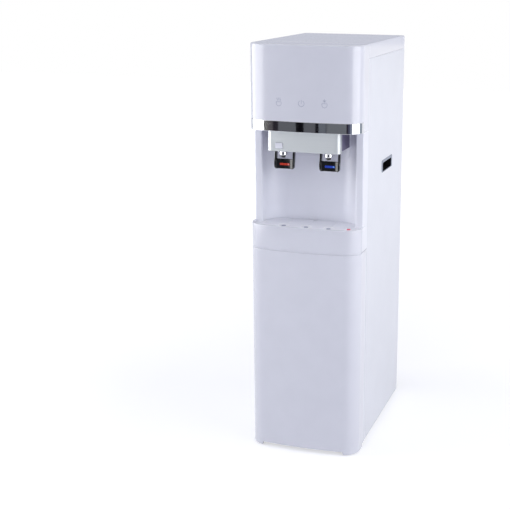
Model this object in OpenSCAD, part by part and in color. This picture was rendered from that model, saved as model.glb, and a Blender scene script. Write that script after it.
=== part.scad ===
// Free-standing hot and cold water dispenser with the bottle in a bay behind the lower door.
// Origin: centre of the footprint on the floor. +Z up, -Y towards the user, +X to the user's right.

/* [Cabinet] */
// Width over the side panels
cab_w = 310; // [306:1:330]
// Depth from the crowned front to the rear edges
cab_d = 500; // [490:1:540]
// Radius of the crowned front
crown_r = 930; // [850:10:1200]
// Radius of the vertical front corners
corner_r = 45; // [42:1:50]
// Depth of the front mouldings, from the crown to the side panels
seam_d = 97.5; // [96:0.5:104]
// Wall of the plastic mouldings
wall = 2.5; // [2:0.1:3]
// Thickness of the folded steel sheet
sheet_t = 1.2; // [0.8:0.1:1.6]
// Width of the folded flanges on the side panels
flange_w = 14; // [12:0.5:15]
// Gap at the seams between mouldings and panels
seam_gap = 0.5; // [0.3:0.1:0.8]
// Radius along the top and door edges
edge_r = 4; // [2:0.5:6]

/* [Heights] */
// Height of the levelling feet
foot_h = 12; // [10:0.5:16]
// Gap between the door legs and the floor
door_lift = 3; // [2:0.5:5]
// Height of the lower door
door_h = 574; // [570:1:600]
// Gap above the door
door_gap = 2; // [1.8:0.1:3]
// Height of the apron round the drip tray
apron_h = 66; // [60:1:80]
// Height of the dispensing niche
niche_h = 255; // [249:1:294]
// Height of the chrome band
band_h = 27.5; // [21:0.5:33]
// Height of the head above the band
head_h = 197.5; // [173:0.5:223]
// Height of the top cover's skirt
cover_h = 38; // [30:1:45]

/* [Niche] */
// Width of the post faces beside the niche
post_w = 24; // [23:0.5:27]
// Distance of the niche's back wall behind the crown
niche_d = 125; // [122:0.5:130]
// Distance of the post faces behind the crown
post_d = 60; // [57:0.5:64]
// Radius of the posts' outer corners
post_r = 12; // [8:0.5:16]
// Radius of the concave corners at the niche's back
niche_r = 55; // [45:1:60]
// Thickness of the chrome band
band_t = 3; // [2:0.1:3.2]
// Distance of the band's ends behind the crown
band_d = 46.5; // [45:0.5:50]

/* [Taps] */
// Distance of each tap from the centre
tap_x = 63; // [60:0.5:64]
// Distance of the nozzles behind the crown
nozzle_d = 39; // [38:0.5:41]
// Radius of the chrome nozzle
nozzle_r = 10.5; // [9:0.1:11.5]
// Distance from the levers out to the shroud's sides
shroud_side = 9.5; // [8.5:0.5:12]
// Height of the shroud
shroud_h = 54.5; // [52:0.5:58]
// Distance of the shroud's face behind the crown
shroud_d = 14; // [12:0.5:14.5]
// Radius of the shroud's vertical corners
shroud_r = 12; // [8:0.5:14]
// Width of a tap lever
lever_w = 55; // [52:0.5:57]
// Thickness of a lever's cheeks
cheek_t = 4.5; // [4:0.5:5.5]
// Height of the lever's lower edge above the niche floor
lever_clear = 148; // [140:1:152]
// Height of the lever's pivot above its lower edge
lever_reach = 79; // [77:0.5:80]
// Radius of the lever pins
pin_r = 2; // [1.5:0.1:2.5]
// Running clearance round the pins
pin_gap = 0.05; // [0.03:0.01:0.08]
// Width of the lock button
button_w = 19.5; // [15:0.5:20.5]
// Height of the lock button
button_h = 14.5; // [12:0.5:18]
// Distance of the lock button outwards from the hot tap
button_out = 3.5; // [0:0.5:5]

/* [Drip tray] */
// Thickness of the drip plate
grille_t = 4.5; // [4:0.1:6]
// Depth of the plate below the rim
grille_drop = 4.5; // [3:0.5:8]
// Clearance round the tray
tray_gap = 0.8; // [0.5:0.1:1.2]
// Radius of the dished cups
cup_r = 13.5; // [11:0.5:16]
// Radius of the drain hole in each cup
drain_r = 5; // [3:0.5:6]
// Radius of the overflow float's stem
float_r = 5; // [4:0.5:5.5]

/* [Door] */
// Radius of the door's hinge edge
knuckle_r = 10; // [9.5:0.1:11]
// Radius of the hinge pins
hinge_r = 3; // [2.5:0.1:3.5]
// Half width of the bottom cut-out between the door's legs
leg_half = 118; // [110:1:122]
// Gap between the door and the front frame
door_back = 2.5; // [2.4:0.1:3.5]

/* [Bottle bay] */
// Radius of the bottle
bottle_r = 135; // [130:0.5:137]
// Wall of the bottle
bottle_t = 2; // [1.5:0.1:3]
// Height of the shelf above the base plate
shelf_h = 32.8; // [28:0.2:40]
// Clearance between the probe and the deck above it
probe_room = 33; // [20:1:60]
// Width of the front frame beside the bay's mouth
bay_side = 13.8; // [13:0.1:16]
// Width of the shoulders in the mouth's upper corners
bay_step = 24; // [20:1:30]

/* [Condenser] */
// Radius of the condenser tube
coil_r = 2.4; // [2:0.1:3]
// Distance between the tube's runs
coil_pitch = 34; // [30:0.5:36]
// Number of runs
coil_runs = 15; // [9:2:15]
// Half length of a straight run
coil_half = 98; // [85:1:102]
// Distance of the coil in front of the rear edges
coil_d = 11; // [10:0.5:14]

/* [Hidden] */
$fn = 48;

// Heights that follow from the stack
door_z = door_lift;
door_top = door_z + door_h;
apron_z = door_top + door_gap;
niche_z = apron_z + apron_h;
band_z = niche_z + niche_h;
head_z = band_z + band_h;
top_z = head_z + head_h;
cover_z = top_z - cover_h;
panel_z = foot_h + 3;
base_top = foot_h + sheet_t;
shelf_z = base_top + shelf_h;
deck_z = apron_z + 11;
deck_top = deck_z + sheet_t;

// Depths, measured from the centre of the footprint
half_w = cab_w / 2;
inner_half = half_w - sheet_t;
niche_half = half_w - post_w;
bay_half = inner_half - bay_side;
bay_neck = bay_half - bay_step;
front_y = -cab_d / 2;
rear_y = cab_d / 2;
seam_y = front_y + seam_d;
panel_y = seam_y + seam_gap;
frame_y = panel_y + sheet_t;
frame_back = frame_y + sheet_t;
band_y = front_y + band_d;
post_y = front_y + post_d;
back_y = front_y + niche_d;
nozzle_y = front_y + nozzle_d;
shroud_y = front_y + shroud_d;
rear_recess = 28;
rear_panel_y = rear_y - rear_recess;
coil_y = rear_y - coil_d;
flange_x = half_w - flange_w;

// The front outline: a wide crown between two tangent corner arcs
crown_cy = front_y + crown_r;
corner_cx = half_w - corner_r;
corner_cy = crown_cy - sqrt(pow(crown_r - corner_r, 2) - pow(corner_cx, 2));
crown_a = asin(corner_cx / (crown_r - corner_r));
corner_steps = 10;
crown_steps = 12;

function arc(c, r, a0, a1, n) =
    [for (i = [0:n]) let (a = a0 + (a1 - a0) * i / n) c + r * [cos(a), sin(a)]];
function mirror_x(points) = [for (i = [len(points) - 1:-1:0]) [-points[i][0], points[i][1]]];
function crown_points(inset) =
    [for (i = [1:crown_steps - 1]) let (a = crown_a * (1 - 2 * i / crown_steps))
        [(crown_r - inset) * sin(a), crown_cy - (crown_r - inset) * cos(a)]];
function corner_points(inset) =
    arc([corner_cx, corner_cy], corner_r - inset, 0, crown_a - 90, corner_steps);
function front_arcs(inset) =
    concat(corner_points(inset), crown_points(inset), mirror_x(corner_points(inset)));
function front_outline(inset, y) =
    concat([[half_w - inset, y]], front_arcs(inset), [[inset - half_w, y]]);

module front_slab(z0, z1, inset, y) {
    translate([0, 0, z0])
        linear_extrude(z1 - z0)
            polygon(front_outline(inset, y));
}

// A box given by its two corners
module block(low, high) {
    translate(low)
        cube(high - low);
}

// A plate in the XZ plane with rounded corners, from y0 to y1
module face_plate(x0, x1, z0, z1, y0, y1, r) {
    translate([0, y1, 0])
        rotate([90, 0, 0])
            linear_extrude(y1 - y0)
                polygon(rounded_rect(x0, x1, z0, z1, r));
}

function rounded_rect(x0, x1, y0, y1, r) = concat(
    arc([x1 - r, y1 - r], r, 0, 90, 4),
    arc([x0 + r, y1 - r], r, 90, 180, 4),
    arc([x0 + r, y0 + r], r, 180, 270, 4),
    arc([x1 - r, y0 + r], r, 270, 360, 4));

// Extrudes an outline drawn in Y and Z along X
module along_x(x0, x1) {
    translate([x0, 0, 0])
        rotate([90, 0, 90])
            linear_extrude(x1 - x0)
                children();
}

module cyl_x(x0, x1, y, z, r) {
    translate([x0, y, z])
        rotate([0, 90, 0])
            cylinder(r = r, h = x1 - x0);
}

module cyl_y(x, y0, y1, z, r) {
    translate([x, y1, z])
        rotate([90, 0, 0])
            cylinder(r = r, h = y1 - y0);
}

module cyl_z(x, y, z0, z1, r) {
    translate([x, y, z0])
        cylinder(r = r, h = z1 - z0);
}

module both_sides() {
    children();
    mirror([1, 0, 0])
        children();
}

// ---- Base and feet ----
foot_x = half_w - 50;
foot_r = 18;
foot_front = frame_back + 24;
foot_rear = rear_y - 35;
base_lip = 20;

module base_plate() {
    color("gainsboro") {
        block([-inner_half, frame_back, foot_h], [inner_half, rear_y - sheet_t, base_top]);
        both_sides()
            block([inner_half - sheet_t, frame_back, foot_h],
                [inner_half, rear_y - sheet_t, foot_h + base_lip]);
        block([-inner_half, rear_y - 2 * sheet_t, foot_h],
            [inner_half, rear_y - sheet_t, foot_h + base_lip]);
    }
}

module levelling_feet() {
    color("black")
        for (x = [-foot_x, foot_x], y = [foot_front, foot_rear])
            translate([x, y, 0])
                rotate_extrude()
                    polygon([[0, 0], [foot_r - 4, 0], [foot_r, 3], [foot_r, 5], [foot_r - 4, foot_h - 2],
                             [foot_r - 7, foot_h], [0, foot_h]]);
}

// ---- Shelf that carries the bottle ----
shelf_half = bottle_r;
shelf_t = 2;
shelf_hole = 20;
shelf_rear = bottle_r + 8;
pad_half = 78;
pad_d = 42;
block_w = 35;
block_t = 4;
pad_front = frame_back + 1.5;
pad_rear = pad_front + pad_d;

module bottle_shelf() {
    color("lightsteelblue") {
        difference() {
            block([-shelf_half, pad_front, shelf_z - shelf_t], [shelf_half, shelf_rear, shelf_z]);
            cyl_z(0, 0, shelf_z - shelf_t - 1, shelf_z + 1, shelf_hole);
        }
        both_sides()
            block([shelf_half - shelf_t, pad_rear, base_top], [shelf_half, shelf_rear, shelf_z]);
        block([-shelf_half, shelf_rear - shelf_t, base_top], [shelf_half, shelf_rear, shelf_z]);
    }
}

module base_front_pad() {
    color("whitesmoke")
        block([-pad_half, pad_front, base_top], [pad_half, pad_rear, shelf_z - shelf_t]);
}

module corner_blocks() {
    color("dimgray")
        both_sides()
            difference() {
                block([pad_half + block_t, pad_front, base_top],
                    [pad_half + block_t + block_w, pad_rear, shelf_z - shelf_t]);
                block([pad_half + 2 * block_t, pad_front - 1, base_top + block_t],
                    [pad_half + block_w, pad_rear - block_t, shelf_z - shelf_t - block_t]);
            }
}

// ---- Steel panels ----
shoulder_z = deck_z - 92;
shoulder_r = bay_step / 2;

// Right half of the mouth: straight side, curved shoulder, narrower neck
function bay_mouth() = concat(
    [[bay_half, base_top + 3]],
    arc([bay_half - shoulder_r, shoulder_z], shoulder_r, 0, 90, 5),
    arc([bay_neck + shoulder_r, shoulder_z + 2 * shoulder_r], shoulder_r, 270, 180, 5),
    [[bay_neck, deck_z - 6]]);

module front_frame() {
    color("white")
        translate([0, frame_back, 0])
            rotate([90, 0, 0])
                linear_extrude(sheet_t)
                    difference() {
                        translate([-inner_half, foot_h])
                            square([2 * inner_half, deck_z - foot_h]);
                        polygon(concat(bay_mouth(), mirror_x(bay_mouth())));
                    }
}

hand_in = 208.5;
hand_y = panel_y + hand_in;
hand_up = 131.5;
hand_z = niche_z + hand_up;
hand_w = 119;
hand_h = 35;
hand_drop = 3;
pocket_w = 101;
pocket_h = 25;
pocket_d = 30;
pocket_t = 2;

module side_panel_right() {
    color("white")
        difference() {
            union() {
                block([inner_half, panel_y, panel_z], [half_w, rear_y, cover_z]);
                block([flange_x, panel_y, panel_z], [half_w, panel_y + sheet_t, cover_z]);
                block([flange_x, rear_y - sheet_t, panel_z], [half_w, rear_y, cover_z]);
                block([flange_x, panel_y, cover_z - sheet_t], [half_w, rear_y, cover_z]);
            }
            pocket_block(pocket_t + 0.5, inner_half - 1, half_w + 1);
        }
}

module side_panel_left() {
    mirror([1, 0, 0])
        side_panel_right();
}

// The recess of a carrying handle, grown on all sides
module pocket_block(grow, x0, x1) {
    along_x(x0, x1)
        polygon(rounded_rect(hand_y - pocket_w / 2 - grow, hand_y + pocket_w / 2 + grow,
            hand_z - hand_drop - pocket_h / 2 - grow, hand_z - hand_drop + pocket_h / 2 + grow, 4));
}

module handle_right() {
    color("dimgray")
        difference() {
            union() {
                along_x(half_w, half_w + 1)
                    polygon(rounded_rect(hand_y - hand_w / 2, hand_y + hand_w / 2,
                        hand_z - hand_h / 2, hand_z + hand_h / 2, 4));
                pocket_block(pocket_t, half_w - pocket_d, half_w + 0.5);
            }
            pocket_block(0, half_w - pocket_d + pocket_t, half_w + 2);
        }
}

module handle_left() {
    mirror([1, 0, 0])
        handle_right();
}

grommet_r = 8;
grommet_side = 31.8;
grommet_in = 29.6;
grommet_h = 7;
grommet_at = [grommet_side - inner_half, frame_back + grommet_in];
deck_lip = 18;

module mid_deck() {
    color("silver")
        difference() {
            union() {
                block([-inner_half, frame_back, deck_z], [inner_half, rear_panel_y, deck_top]);
                both_sides()
                    block([inner_half - sheet_t, frame_back, deck_z - deck_lip],
                        [inner_half, rear_panel_y, deck_top]);
                block([-inner_half, rear_panel_y - sheet_t, deck_z - deck_lip],
                    [inner_half, rear_panel_y, deck_top]);
            }
            cyl_z(grommet_at[0], grommet_at[1], deck_z - 1, deck_top + 1, grommet_r + 0.1);
        }
}

slot_x = 62;
slot_w = 86;
slot_h = 5;
slot_rows = 9;
slot_pitch = 14;
slot_up = 90;
slot_z = deck_top + slot_up;
switch_down = 70;
switch_z = cover_z - switch_down;
switch_side = 49.8;
switch_pitch = 36;
switch_x = [switch_side - inner_half, switch_side + switch_pitch - inner_half];
gland_side = 53.8;
gland_up = 45;
gland_at = [inner_half - gland_side, deck_top + gland_up];
spigot_at = [gland_side - inner_half, deck_top + gland_up];
gland_r = 9;
spigot_r = 8;
bezel_w = 22;
bezel_h = 33;
panel_top = cover_z - sheet_t;

module rear_panel() {
    color("whitesmoke")
        difference() {
            union() {
                block([-inner_half, rear_panel_y, deck_z],
                    [inner_half, rear_panel_y + sheet_t, panel_top]);
                block([-inner_half, rear_panel_y, panel_top - sheet_t],
                    [inner_half, rear_y - sheet_t, panel_top]);
            }
            for (x = [-slot_x, slot_x], row = [0:slot_rows - 1])
                louvre(x, slot_z + row * slot_pitch);
            for (x = switch_x)
                block([x - bezel_w / 2 - 0.1, rear_panel_y - 1, switch_z - bezel_h / 2 - 0.1],
                    [x + bezel_w / 2 + 0.1, rear_panel_y + sheet_t + 1, switch_z + bezel_h / 2 + 0.1]);
            cyl_y(gland_at[0], rear_panel_y - 1, rear_panel_y + sheet_t + 1, gland_at[1], gland_r + 0.1);
            cyl_y(spigot_at[0], rear_panel_y - 1, rear_panel_y + sheet_t + 1, spigot_at[1], spigot_r + 0.1);
        }
}

module louvre(x, z) {
    face_plate(x - slot_w / 2, x + slot_w / 2, z, z + slot_h,
        rear_panel_y - 1, rear_panel_y + sheet_t + 1, slot_h / 2 - 0.1);
}

strap_up = 254;
strap_z = shelf_z + strap_up;
strap_h = 60;
strap_y = rear_panel_y - 8;
strap_lip = 16;

module cross_strap() {
    color("slategray")
        difference() {
            union() {
                block([-inner_half, strap_y, strap_z],
                    [inner_half, strap_y + sheet_t, strap_z + strap_h]);
                both_sides()
                    block([inner_half - sheet_t, strap_y, strap_z],
                        [inner_half, strap_y + strap_lip, strap_z + strap_h]);
            }
            for (x = [-60, 0, 60])
                cyl_y(x, strap_y - 1, strap_y + sheet_t + 1, strap_z + strap_h / 2, 6);
        }
}

// ---- Top cover and head ----
module top_cover() {
    color("white")
        difference() {
            hull() {
                for (a = [0, 30, 60, 90])
                    let (inset = edge_r * (1 - cos(a)))
                        block([inset - half_w, panel_y, cover_z],
                            [half_w - inset, rear_y - inset, top_z - edge_r * (1 - sin(a))]);
            }
            block([-half_w + wall, panel_y - 1, cover_z - 1],
                [half_w - wall, rear_y - wall, top_z - wall - edge_r / 2]);
        }
}

module filleted_slab(z0, z1, inset) {
    hull() {
        for (a = [0, 30, 60, 90])
            front_slab(z0, z1 - edge_r * (1 - sin(a)), inset + edge_r * (1 - cos(a)), seam_y);
    }
}

module head_shell() {
    color("white") {
        difference() {
            filleted_slab(head_z, top_z, 0);
            front_slab(head_z - 1, top_z - wall - edge_r / 2, wall, seam_y + 1);
        }
        difference() {
            front_slab(band_z, head_z, 0, seam_y);
            front_slab(band_z - 1, head_z + 1, wall, seam_y + 1);
            block([-cab_w, -cab_d, band_z - 1], [cab_w, band_y, head_z + 1]);
        }
    }
}

module chrome_band() {
    color("lightgray")
        difference() {
            front_slab(band_z, head_z, 0, seam_y);
            front_slab(band_z - 1, head_z + 1, band_t, seam_y + 1);
            block([-cab_w, band_y - seam_gap, band_z - 1], [cab_w, cab_d, head_z + 1]);
        }
}

// ---- Niche ----
// Half of the niche wall's front line, from the back's centre to the outer side, moved back by o
post_edge = 4;

function niche_back(o) = arc([niche_half - niche_r, back_y - niche_r], niche_r + o, 90, 0, 10);
function niche_half_path(o) = concat(
    niche_back(o),
    arc([niche_half + post_edge, post_y + post_edge], post_edge - o, 180, 270, 3),
    arc([half_w - post_r, post_y + post_r], post_r - o, 270, 360, 5),
    [[half_w - o, seam_y]]);
function niche_path(o) = concat(mirror_x(niche_half_path(o)), niche_half_path(o));
function reversed(points) = [for (i = [len(points) - 1:-1:0]) points[i]];
// The open space of the niche seen from above, grown by o
function niche_plan(o) = concat(
    [[-niche_half - o, 2 * front_y]], mirror_x(niche_back(o)),
    niche_back(o), [[niche_half + o, 2 * front_y]]);

module niche_shell() {
    color("ghostwhite") {
        translate([0, 0, niche_z])
            linear_extrude(niche_h)
                polygon(concat(niche_path(0), reversed(niche_path(wall))));
        front_slab(band_z, band_z + wall, band_t + 0.3, seam_y);
        translate([0, 0, band_z])
            linear_extrude(wall)
                intersection() {
                    polygon(niche_plan(wall));
                    translate([-cab_w, seam_y - 1])
                        square([2 * cab_w, cab_w]);
                }
    }
}

// ---- Drip tray ----
rim_w = 2 * wall + 0.8;

module tray_plan(grow) {
    intersection() {
        polygon(front_outline(rim_w - grow, 0));
        union() {
            polygon(niche_plan(grow - 1.5));
            translate([-cab_w, 2 * front_y])
                square([2 * cab_w, post_y - 1.5 + grow - 2 * front_y]);
        }
    }
}

grille_z = niche_z - grille_drop - grille_t;
tray_z = deck_top + wall;

module tray_housing() {
    color("ghostwhite")
        difference() {
            union() {
                intersection() {
                    front_slab(apron_z, niche_z, 0, seam_y);
                    block([-cab_w, band_y + 0.1, apron_z], [cab_w, seam_y, niche_z]);
                }
                front_slab(deck_top, niche_z - 2, wall + 0.2, seam_y);
                translate([0, 0, deck_top])
                    linear_extrude(niche_z - deck_top)
                        intersection() {
                            polygon(niche_plan(wall));
                            translate([-cab_w, band_y + 0.1])
                                square([2 * cab_w, cab_w]);
                        }
            }
            translate([0, 0, tray_z])
                linear_extrude(apron_h)
                    tray_plan(tray_gap);
            front_slab(apron_z - 1, deck_top, wall, seam_y + 1);
        }
}

module apron() {
    bevel = 7;
    color("white")
        difference() {
            union() {
                hull() {
                    front_slab(apron_z, apron_z + 0.1, bevel, seam_y);
                    front_slab(apron_z + bevel, niche_z, 0, seam_y);
                }
            }
            hull() {
                front_slab(apron_z - 1, apron_z, bevel + wall, seam_y + 1);
                front_slab(apron_z + bevel, niche_z - 2, wall, seam_y + 1);
            }
            translate([0, 0, niche_z - 3])
                linear_extrude(4)
                    tray_plan(tray_gap);
            block([-cab_w, band_y, apron_z - 2], [cab_w, cab_d, niche_z + 1]);
        }
}

module drip_tray() {
    color("white")
        difference() {
            translate([0, 0, tray_z])
                linear_extrude(grille_z - tray_z)
                    tray_plan(0);
            translate([0, 0, tray_z + wall])
                linear_extrude(apron_h)
                    tray_plan(-wall);
        }
}

float_side = 13;
float_in = 43;
float_at = [niche_half - float_side, front_y + float_in];
notch_r = 9;
groove_w = 1.6;

module drip_grille() {
    dish = grille_t - 2;
    color("gainsboro")
        difference() {
            translate([0, 0, grille_z])
                linear_extrude(grille_t)
                    difference() {
                        tray_plan(0);
                        translate([0, back_y])
                            circle(r = notch_r);
                    }
            for (x = [-tap_x, 0, tap_x]) {
                translate([x, nozzle_y, grille_z + grille_t - dish])
                    cylinder(r1 = drain_r, r2 = cup_r, h = dish + 0.01);
                cyl_z(x, nozzle_y, grille_z - 1, grille_z + grille_t, drain_r);
                block([x - groove_w / 2, nozzle_y - 30, grille_z + grille_t - 1],
                    [x + groove_w / 2, back_y - 4, grille_z + grille_t + 1]);
            }
            cyl_z(float_at[0], float_at[1], grille_z - 1, grille_z + grille_t + 1, float_r + 0.75);
        }
}

module overflow_float() {
    foot = tray_z + wall;
    crest = grille_z + grille_t + 2;
    rim = float_r + 3.5;
    color("crimson")
        translate([float_at[0], float_at[1], 0])
            rotate_extrude()
                polygon([[0, foot], [rim, foot], [rim, foot + 9], [float_r, foot + 11],
                         [float_r, crest - 1], [float_r - 1, crest], [0, crest]]);
}

// ---- Taps ----
shroud_half = tap_x + lever_w / 2 + shroud_side;
plate_t = 2;
plate_up = 171;
plate_r = 12;
plate_half = shroud_half - 2;
plate_z = niche_z + plate_up;
shroud_z = band_z - shroud_h;
shroud_t = 2;
shroud_ret = 10;
shroud_back = shroud_y + shroud_r + shroud_ret;
housing_half = shroud_half - 3;
housing_z = shroud_z + 3.5;
housing_t = 2.5;
lever_z = niche_z + lever_clear;
pivot_z = lever_z + lever_reach;
pivot_y = nozzle_y + 19;
lever_front = pivot_y - 15;
lever_back = lever_front + 10;
scoop_y = lever_front + 7;
scoop_h = 27;
hub_r = 5;
lug_gap = 0.7;
lug_t = 3;
swing_room = 14;

module tap_back_plate() {
    color("ghostwhite")
        intersection() {
            translate([0, 0, plate_z])
                linear_extrude(band_z - plate_z)
                    difference() {
                        polygon(niche_plan(0));
                        polygon(niche_plan(-plate_t));
                    }
            face_plate(-plate_half, plate_half, plate_z, band_z + 2 * plate_r,
                back_y - niche_r, back_y + 1, plate_r);
        }
}

function shroud_outline(inset, y) = concat(
    [[shroud_half - inset, y]],
    arc([shroud_half - shroud_r, shroud_y + shroud_r], shroud_r - inset, 0, -90, 6),
    arc([shroud_r - shroud_half, shroud_y + shroud_r], shroud_r - inset, -90, -180, 6),
    [[inset - shroud_half, y]]);

module tap_shroud() {
    color("silver")
        difference() {
            translate([0, 0, shroud_z])
                linear_extrude(shroud_h)
                    polygon(shroud_outline(0, shroud_back));
            translate([0, 0, shroud_z - 1])
                linear_extrude(shroud_h + 2)
                    polygon(shroud_outline(shroud_t, shroud_back + 1));
            button_block(0.3, shroud_y - 1, shroud_y + shroud_t + 1);
        }
}

module housing_plan() {
    intersection() {
        polygon(niche_plan(-plate_t));
        union() {
            polygon(shroud_outline(shroud_t + 0.3, shroud_back + 1));
            translate([-housing_half, shroud_back + 0.5])
                square([2 * housing_half, cab_w]);
        }
    }
}

module tap_housing() {
    color("dimgray")
        difference() {
            union() {
                translate([0, 0, housing_z])
                    linear_extrude(housing_t)
                        housing_plan();
                difference() {
                    translate([0, 0, housing_z])
                        linear_extrude(band_z - housing_z)
                            intersection() {
                                polygon(niche_plan(-plate_t));
                                translate([-housing_half, shroud_back + 0.5])
                                    square([2 * housing_half, cab_w]);
                            }
                    block([-housing_half + housing_t, -cab_d, housing_z + housing_t],
                        [housing_half - housing_t, back_y - plate_t - 2 * housing_t, band_z + 1]);
                }
                for (x = [-tap_x, tap_x], side = [-1, 1])
                    translate([x + side * (lever_w / 2 + lug_gap + lug_t / 2) - lug_t / 2, 0, 0])
                        lug();
            }
            for (x = [-tap_x, tap_x]) {
                cyl_z(x, nozzle_y, housing_z - 1, housing_z + housing_t + 1, nozzle_r - 0.9);
                for (side = [-1, 1])
                    cheek_slot(x + side * (lever_w - cheek_t) / 2);
            }
        }
}

// Slot in the housing's floor that a lever's cheek swings in
module cheek_slot(x) {
    half = cheek_t / 2 + lug_gap;
    block([x - half, pivot_y - 16, housing_z - 1],
        [x + half, pivot_y + swing_room, housing_z + housing_t + 1]);
}

module lug() {
    difference() {
        along_x(0, lug_t) {
            translate([pivot_y, pivot_z])
                circle(r = hub_r + 1);
            translate([pivot_y - hub_r - 1, housing_z + housing_t / 2])
                square([2 * hub_r + 2, pivot_z - housing_z - housing_t / 2]);
        }
        cyl_x(-1, lug_t + 1, pivot_y, pivot_z, pin_r + 0.02);
    }
}

nozzle_h = 17;
body_h = housing_t + 14;

module nozzle(x) {
    neck = nozzle_r - 1;
    color("lightgray")
        translate([x, nozzle_y, housing_z])
            rotate_extrude()
                polygon([[0, -nozzle_h], [nozzle_r - 2.5, -nozzle_h], [nozzle_r - 0.5, -14], [nozzle_r, -12],
                         [nozzle_r, 0], [neck, 0], [neck, body_h - 2], [neck - 2, body_h], [0, body_h]]);
}

module hot_nozzle() {
    nozzle(-tap_x);
}

module cold_nozzle() {
    nozzle(tap_x);
}

tip_r = 6;
tip_h = 6;

module outlet_tips() {
    color("black")
        for (x = [-tap_x, tap_x])
            translate([x, nozzle_y, housing_z])
                rotate_extrude()
                    polygon([[tip_r - 1.3, -nozzle_h - tip_h], [tip_r, -nozzle_h - tip_h],
                             [tip_r + 1, -nozzle_h], [tip_r - 1.3, -nozzle_h]]);
}

module lever_pins() {
    reach = lever_w / 2 + lug_gap + lug_t;
    color("silver")
        for (x = [-tap_x, tap_x])
            cyl_x(x - reach, x + reach, pivot_y, pivot_z, pin_r);
}

module lever(x) {
    half = lever_w / 2;
    mid = half - cheek_t / 2;
    color("black")
        translate([x, 0, 0])
            difference() {
                union() {
                    intersection() {
                        union() {
                            for (side = [-1, 1])
                                along_x(side * mid - cheek_t / 2, side * mid + cheek_t / 2)
                                    hull() {
                                        translate([pivot_y, pivot_z])
                                            circle(r = hub_r + 1);
                                        translate([lever_front + 5, lever_z + 5])
                                            circle(r = 5);
                                        translate([lever_back - 2, lever_z + 2])
                                            circle(r = 2);
                                    }
                            translate([0, 0, lever_z])
                                linear_extrude(scoop_h)
                                    scoop_plan();
                        }
                        face_plate(-half, half, lever_z, pivot_z + 40, lever_front - 5, pivot_y + 20, 6);
                    }
                    cyl_x(-half, half, pivot_y, pivot_z, hub_r);
                }
                cyl_x(-half - 1, half + 1, pivot_y, pivot_z, pin_r + pin_gap);
            }
}

// The lever's paddle seen from above: a shallow trough open to the front
module scoop_plan() {
    inner = lever_w / 2 - cheek_t;
    difference() {
        translate([-lever_w / 2, lever_front + 1])
            square([lever_w, scoop_y + 2 - lever_front]);
        polygon(rounded_rect(-inner, inner, lever_front - 20, scoop_y, 5));
    }
}

module hot_lever() {
    lever(-tap_x);
}

module cold_lever() {
    lever(tap_x);
}

stripe_w = 28;
stripe_h = 6;

stripe_z = lever_z + 9.5;
stripe_t = 0.8;

module stripe(x) {
    face_plate(x - stripe_w / 2, x + stripe_w / 2, stripe_z, stripe_z + stripe_h,
        scoop_y - stripe_t, scoop_y, 1.5);
}

module hot_stripe() {
    color("red")
        stripe(-tap_x);
}

module cold_stripe() {
    color("blue")
        stripe(tap_x);
}

button_z = shroud_z + 15.5;

button_x = -tap_x - button_out;

module button_block(grow, y0, y1) {
    face_plate(button_x - button_w / 2 - grow, button_x + button_w / 2 + grow,
        button_z - button_h / 2 - grow, button_z + button_h / 2 + grow, y0, y1, 2);
}

module lock_button() {
    color("white") {
        button_block(0, shroud_y - 2, shroud_y + 6);
        button_block(1, shroud_y + shroud_t + 0.3, shroud_y + shroud_t + 2.3);
    }
}

// ---- Door ----
hinge_x = -half_w + knuckle_r;
door_rear = seam_y - door_back;
hinge_y = door_rear - knuckle_r;
arch_z = foot_h + 0.3;
skirt_y = hinge_y - knuckle_r;
lip_right = flange_x;
lip_left = hinge_x + 9;
boss_r = 7.4;
bush_r = hinge_r + 2;
bush_h = 16;
door_rib_d = 4;

function door_outline(inset) = concat(
    [[half_w - inset, door_rear - inset]],
    front_arcs(inset),
    [[inset - half_w, hinge_y]],
    arc([hinge_x, hinge_y], knuckle_r - inset, 165, 90, 5));

module door_slab(z0, z1, inset) {
    translate([0, 0, z0])
        linear_extrude(z1 - z0)
            polygon(door_outline(inset));
}

module door_shell() {
    color("white")
        difference() {
            union() {
                difference() {
                    hull() {
                        door_slab(door_z + 1, door_top - 2, 0);
                        door_slab(door_z, door_top - 1, 0.6);
                        door_slab(door_z + 1, door_top, 2);
                    }
                    // inside of the pan and the open rear between its lips
                    door_slab(arch_z + wall, door_top - wall, wall);
                    block([lip_left, door_rear - 2 * wall, arch_z + wall], [lip_right, 0, door_top - wall]);
                    // the arch between the two corner legs
                    door_slab(door_z - 1, arch_z, wall);
                    block([-leg_half, -cab_d, door_z - 1], [leg_half, 0, arch_z]);
                    block([-cab_w, skirt_y, door_z - 1], [cab_w, 0, arch_z]);
                }
                for (k = [1:4])
                    door_rib(arch_z + (door_top - arch_z) * k / 5);
                cyl_z(hinge_x, hinge_y, arch_z + 0.1, arch_z + wall + bush_h, boss_r);
                cyl_z(hinge_x, hinge_y, door_top - wall - bush_h, door_top - 0.1, boss_r);
            }
            cyl_z(hinge_x, hinge_y, 0, arch_z + wall + bush_h + 1, bush_r + 0.02);
            cyl_z(hinge_x, hinge_y, door_top - wall - bush_h - 1, apron_z, bush_r + 0.02);
        }
}

module door_rib(z) {
    translate([0, 0, z])
        linear_extrude(2)
            difference() {
                polygon(front_outline(wall - 0.5, corner_cy));
                polygon(front_outline(wall + door_rib_d, corner_cy + 1));
            }
}

module door_bush(z0, z1) {
    color("ivory")
        difference() {
            cyl_z(hinge_x, hinge_y, z0, z1, bush_r);
            cyl_z(hinge_x, hinge_y, z0 - 1, z1 + 1, hinge_r + pin_gap);
        }
}

module door_bush_bottom() {
    door_bush(arch_z, arch_z + wall + bush_h);
}

module door_bush_top() {
    door_bush(door_top - wall - bush_h, door_top);
}

bracket_r = 6.5;
bracket_t = 2.5;
top_bracket_t = 1.4;

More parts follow.
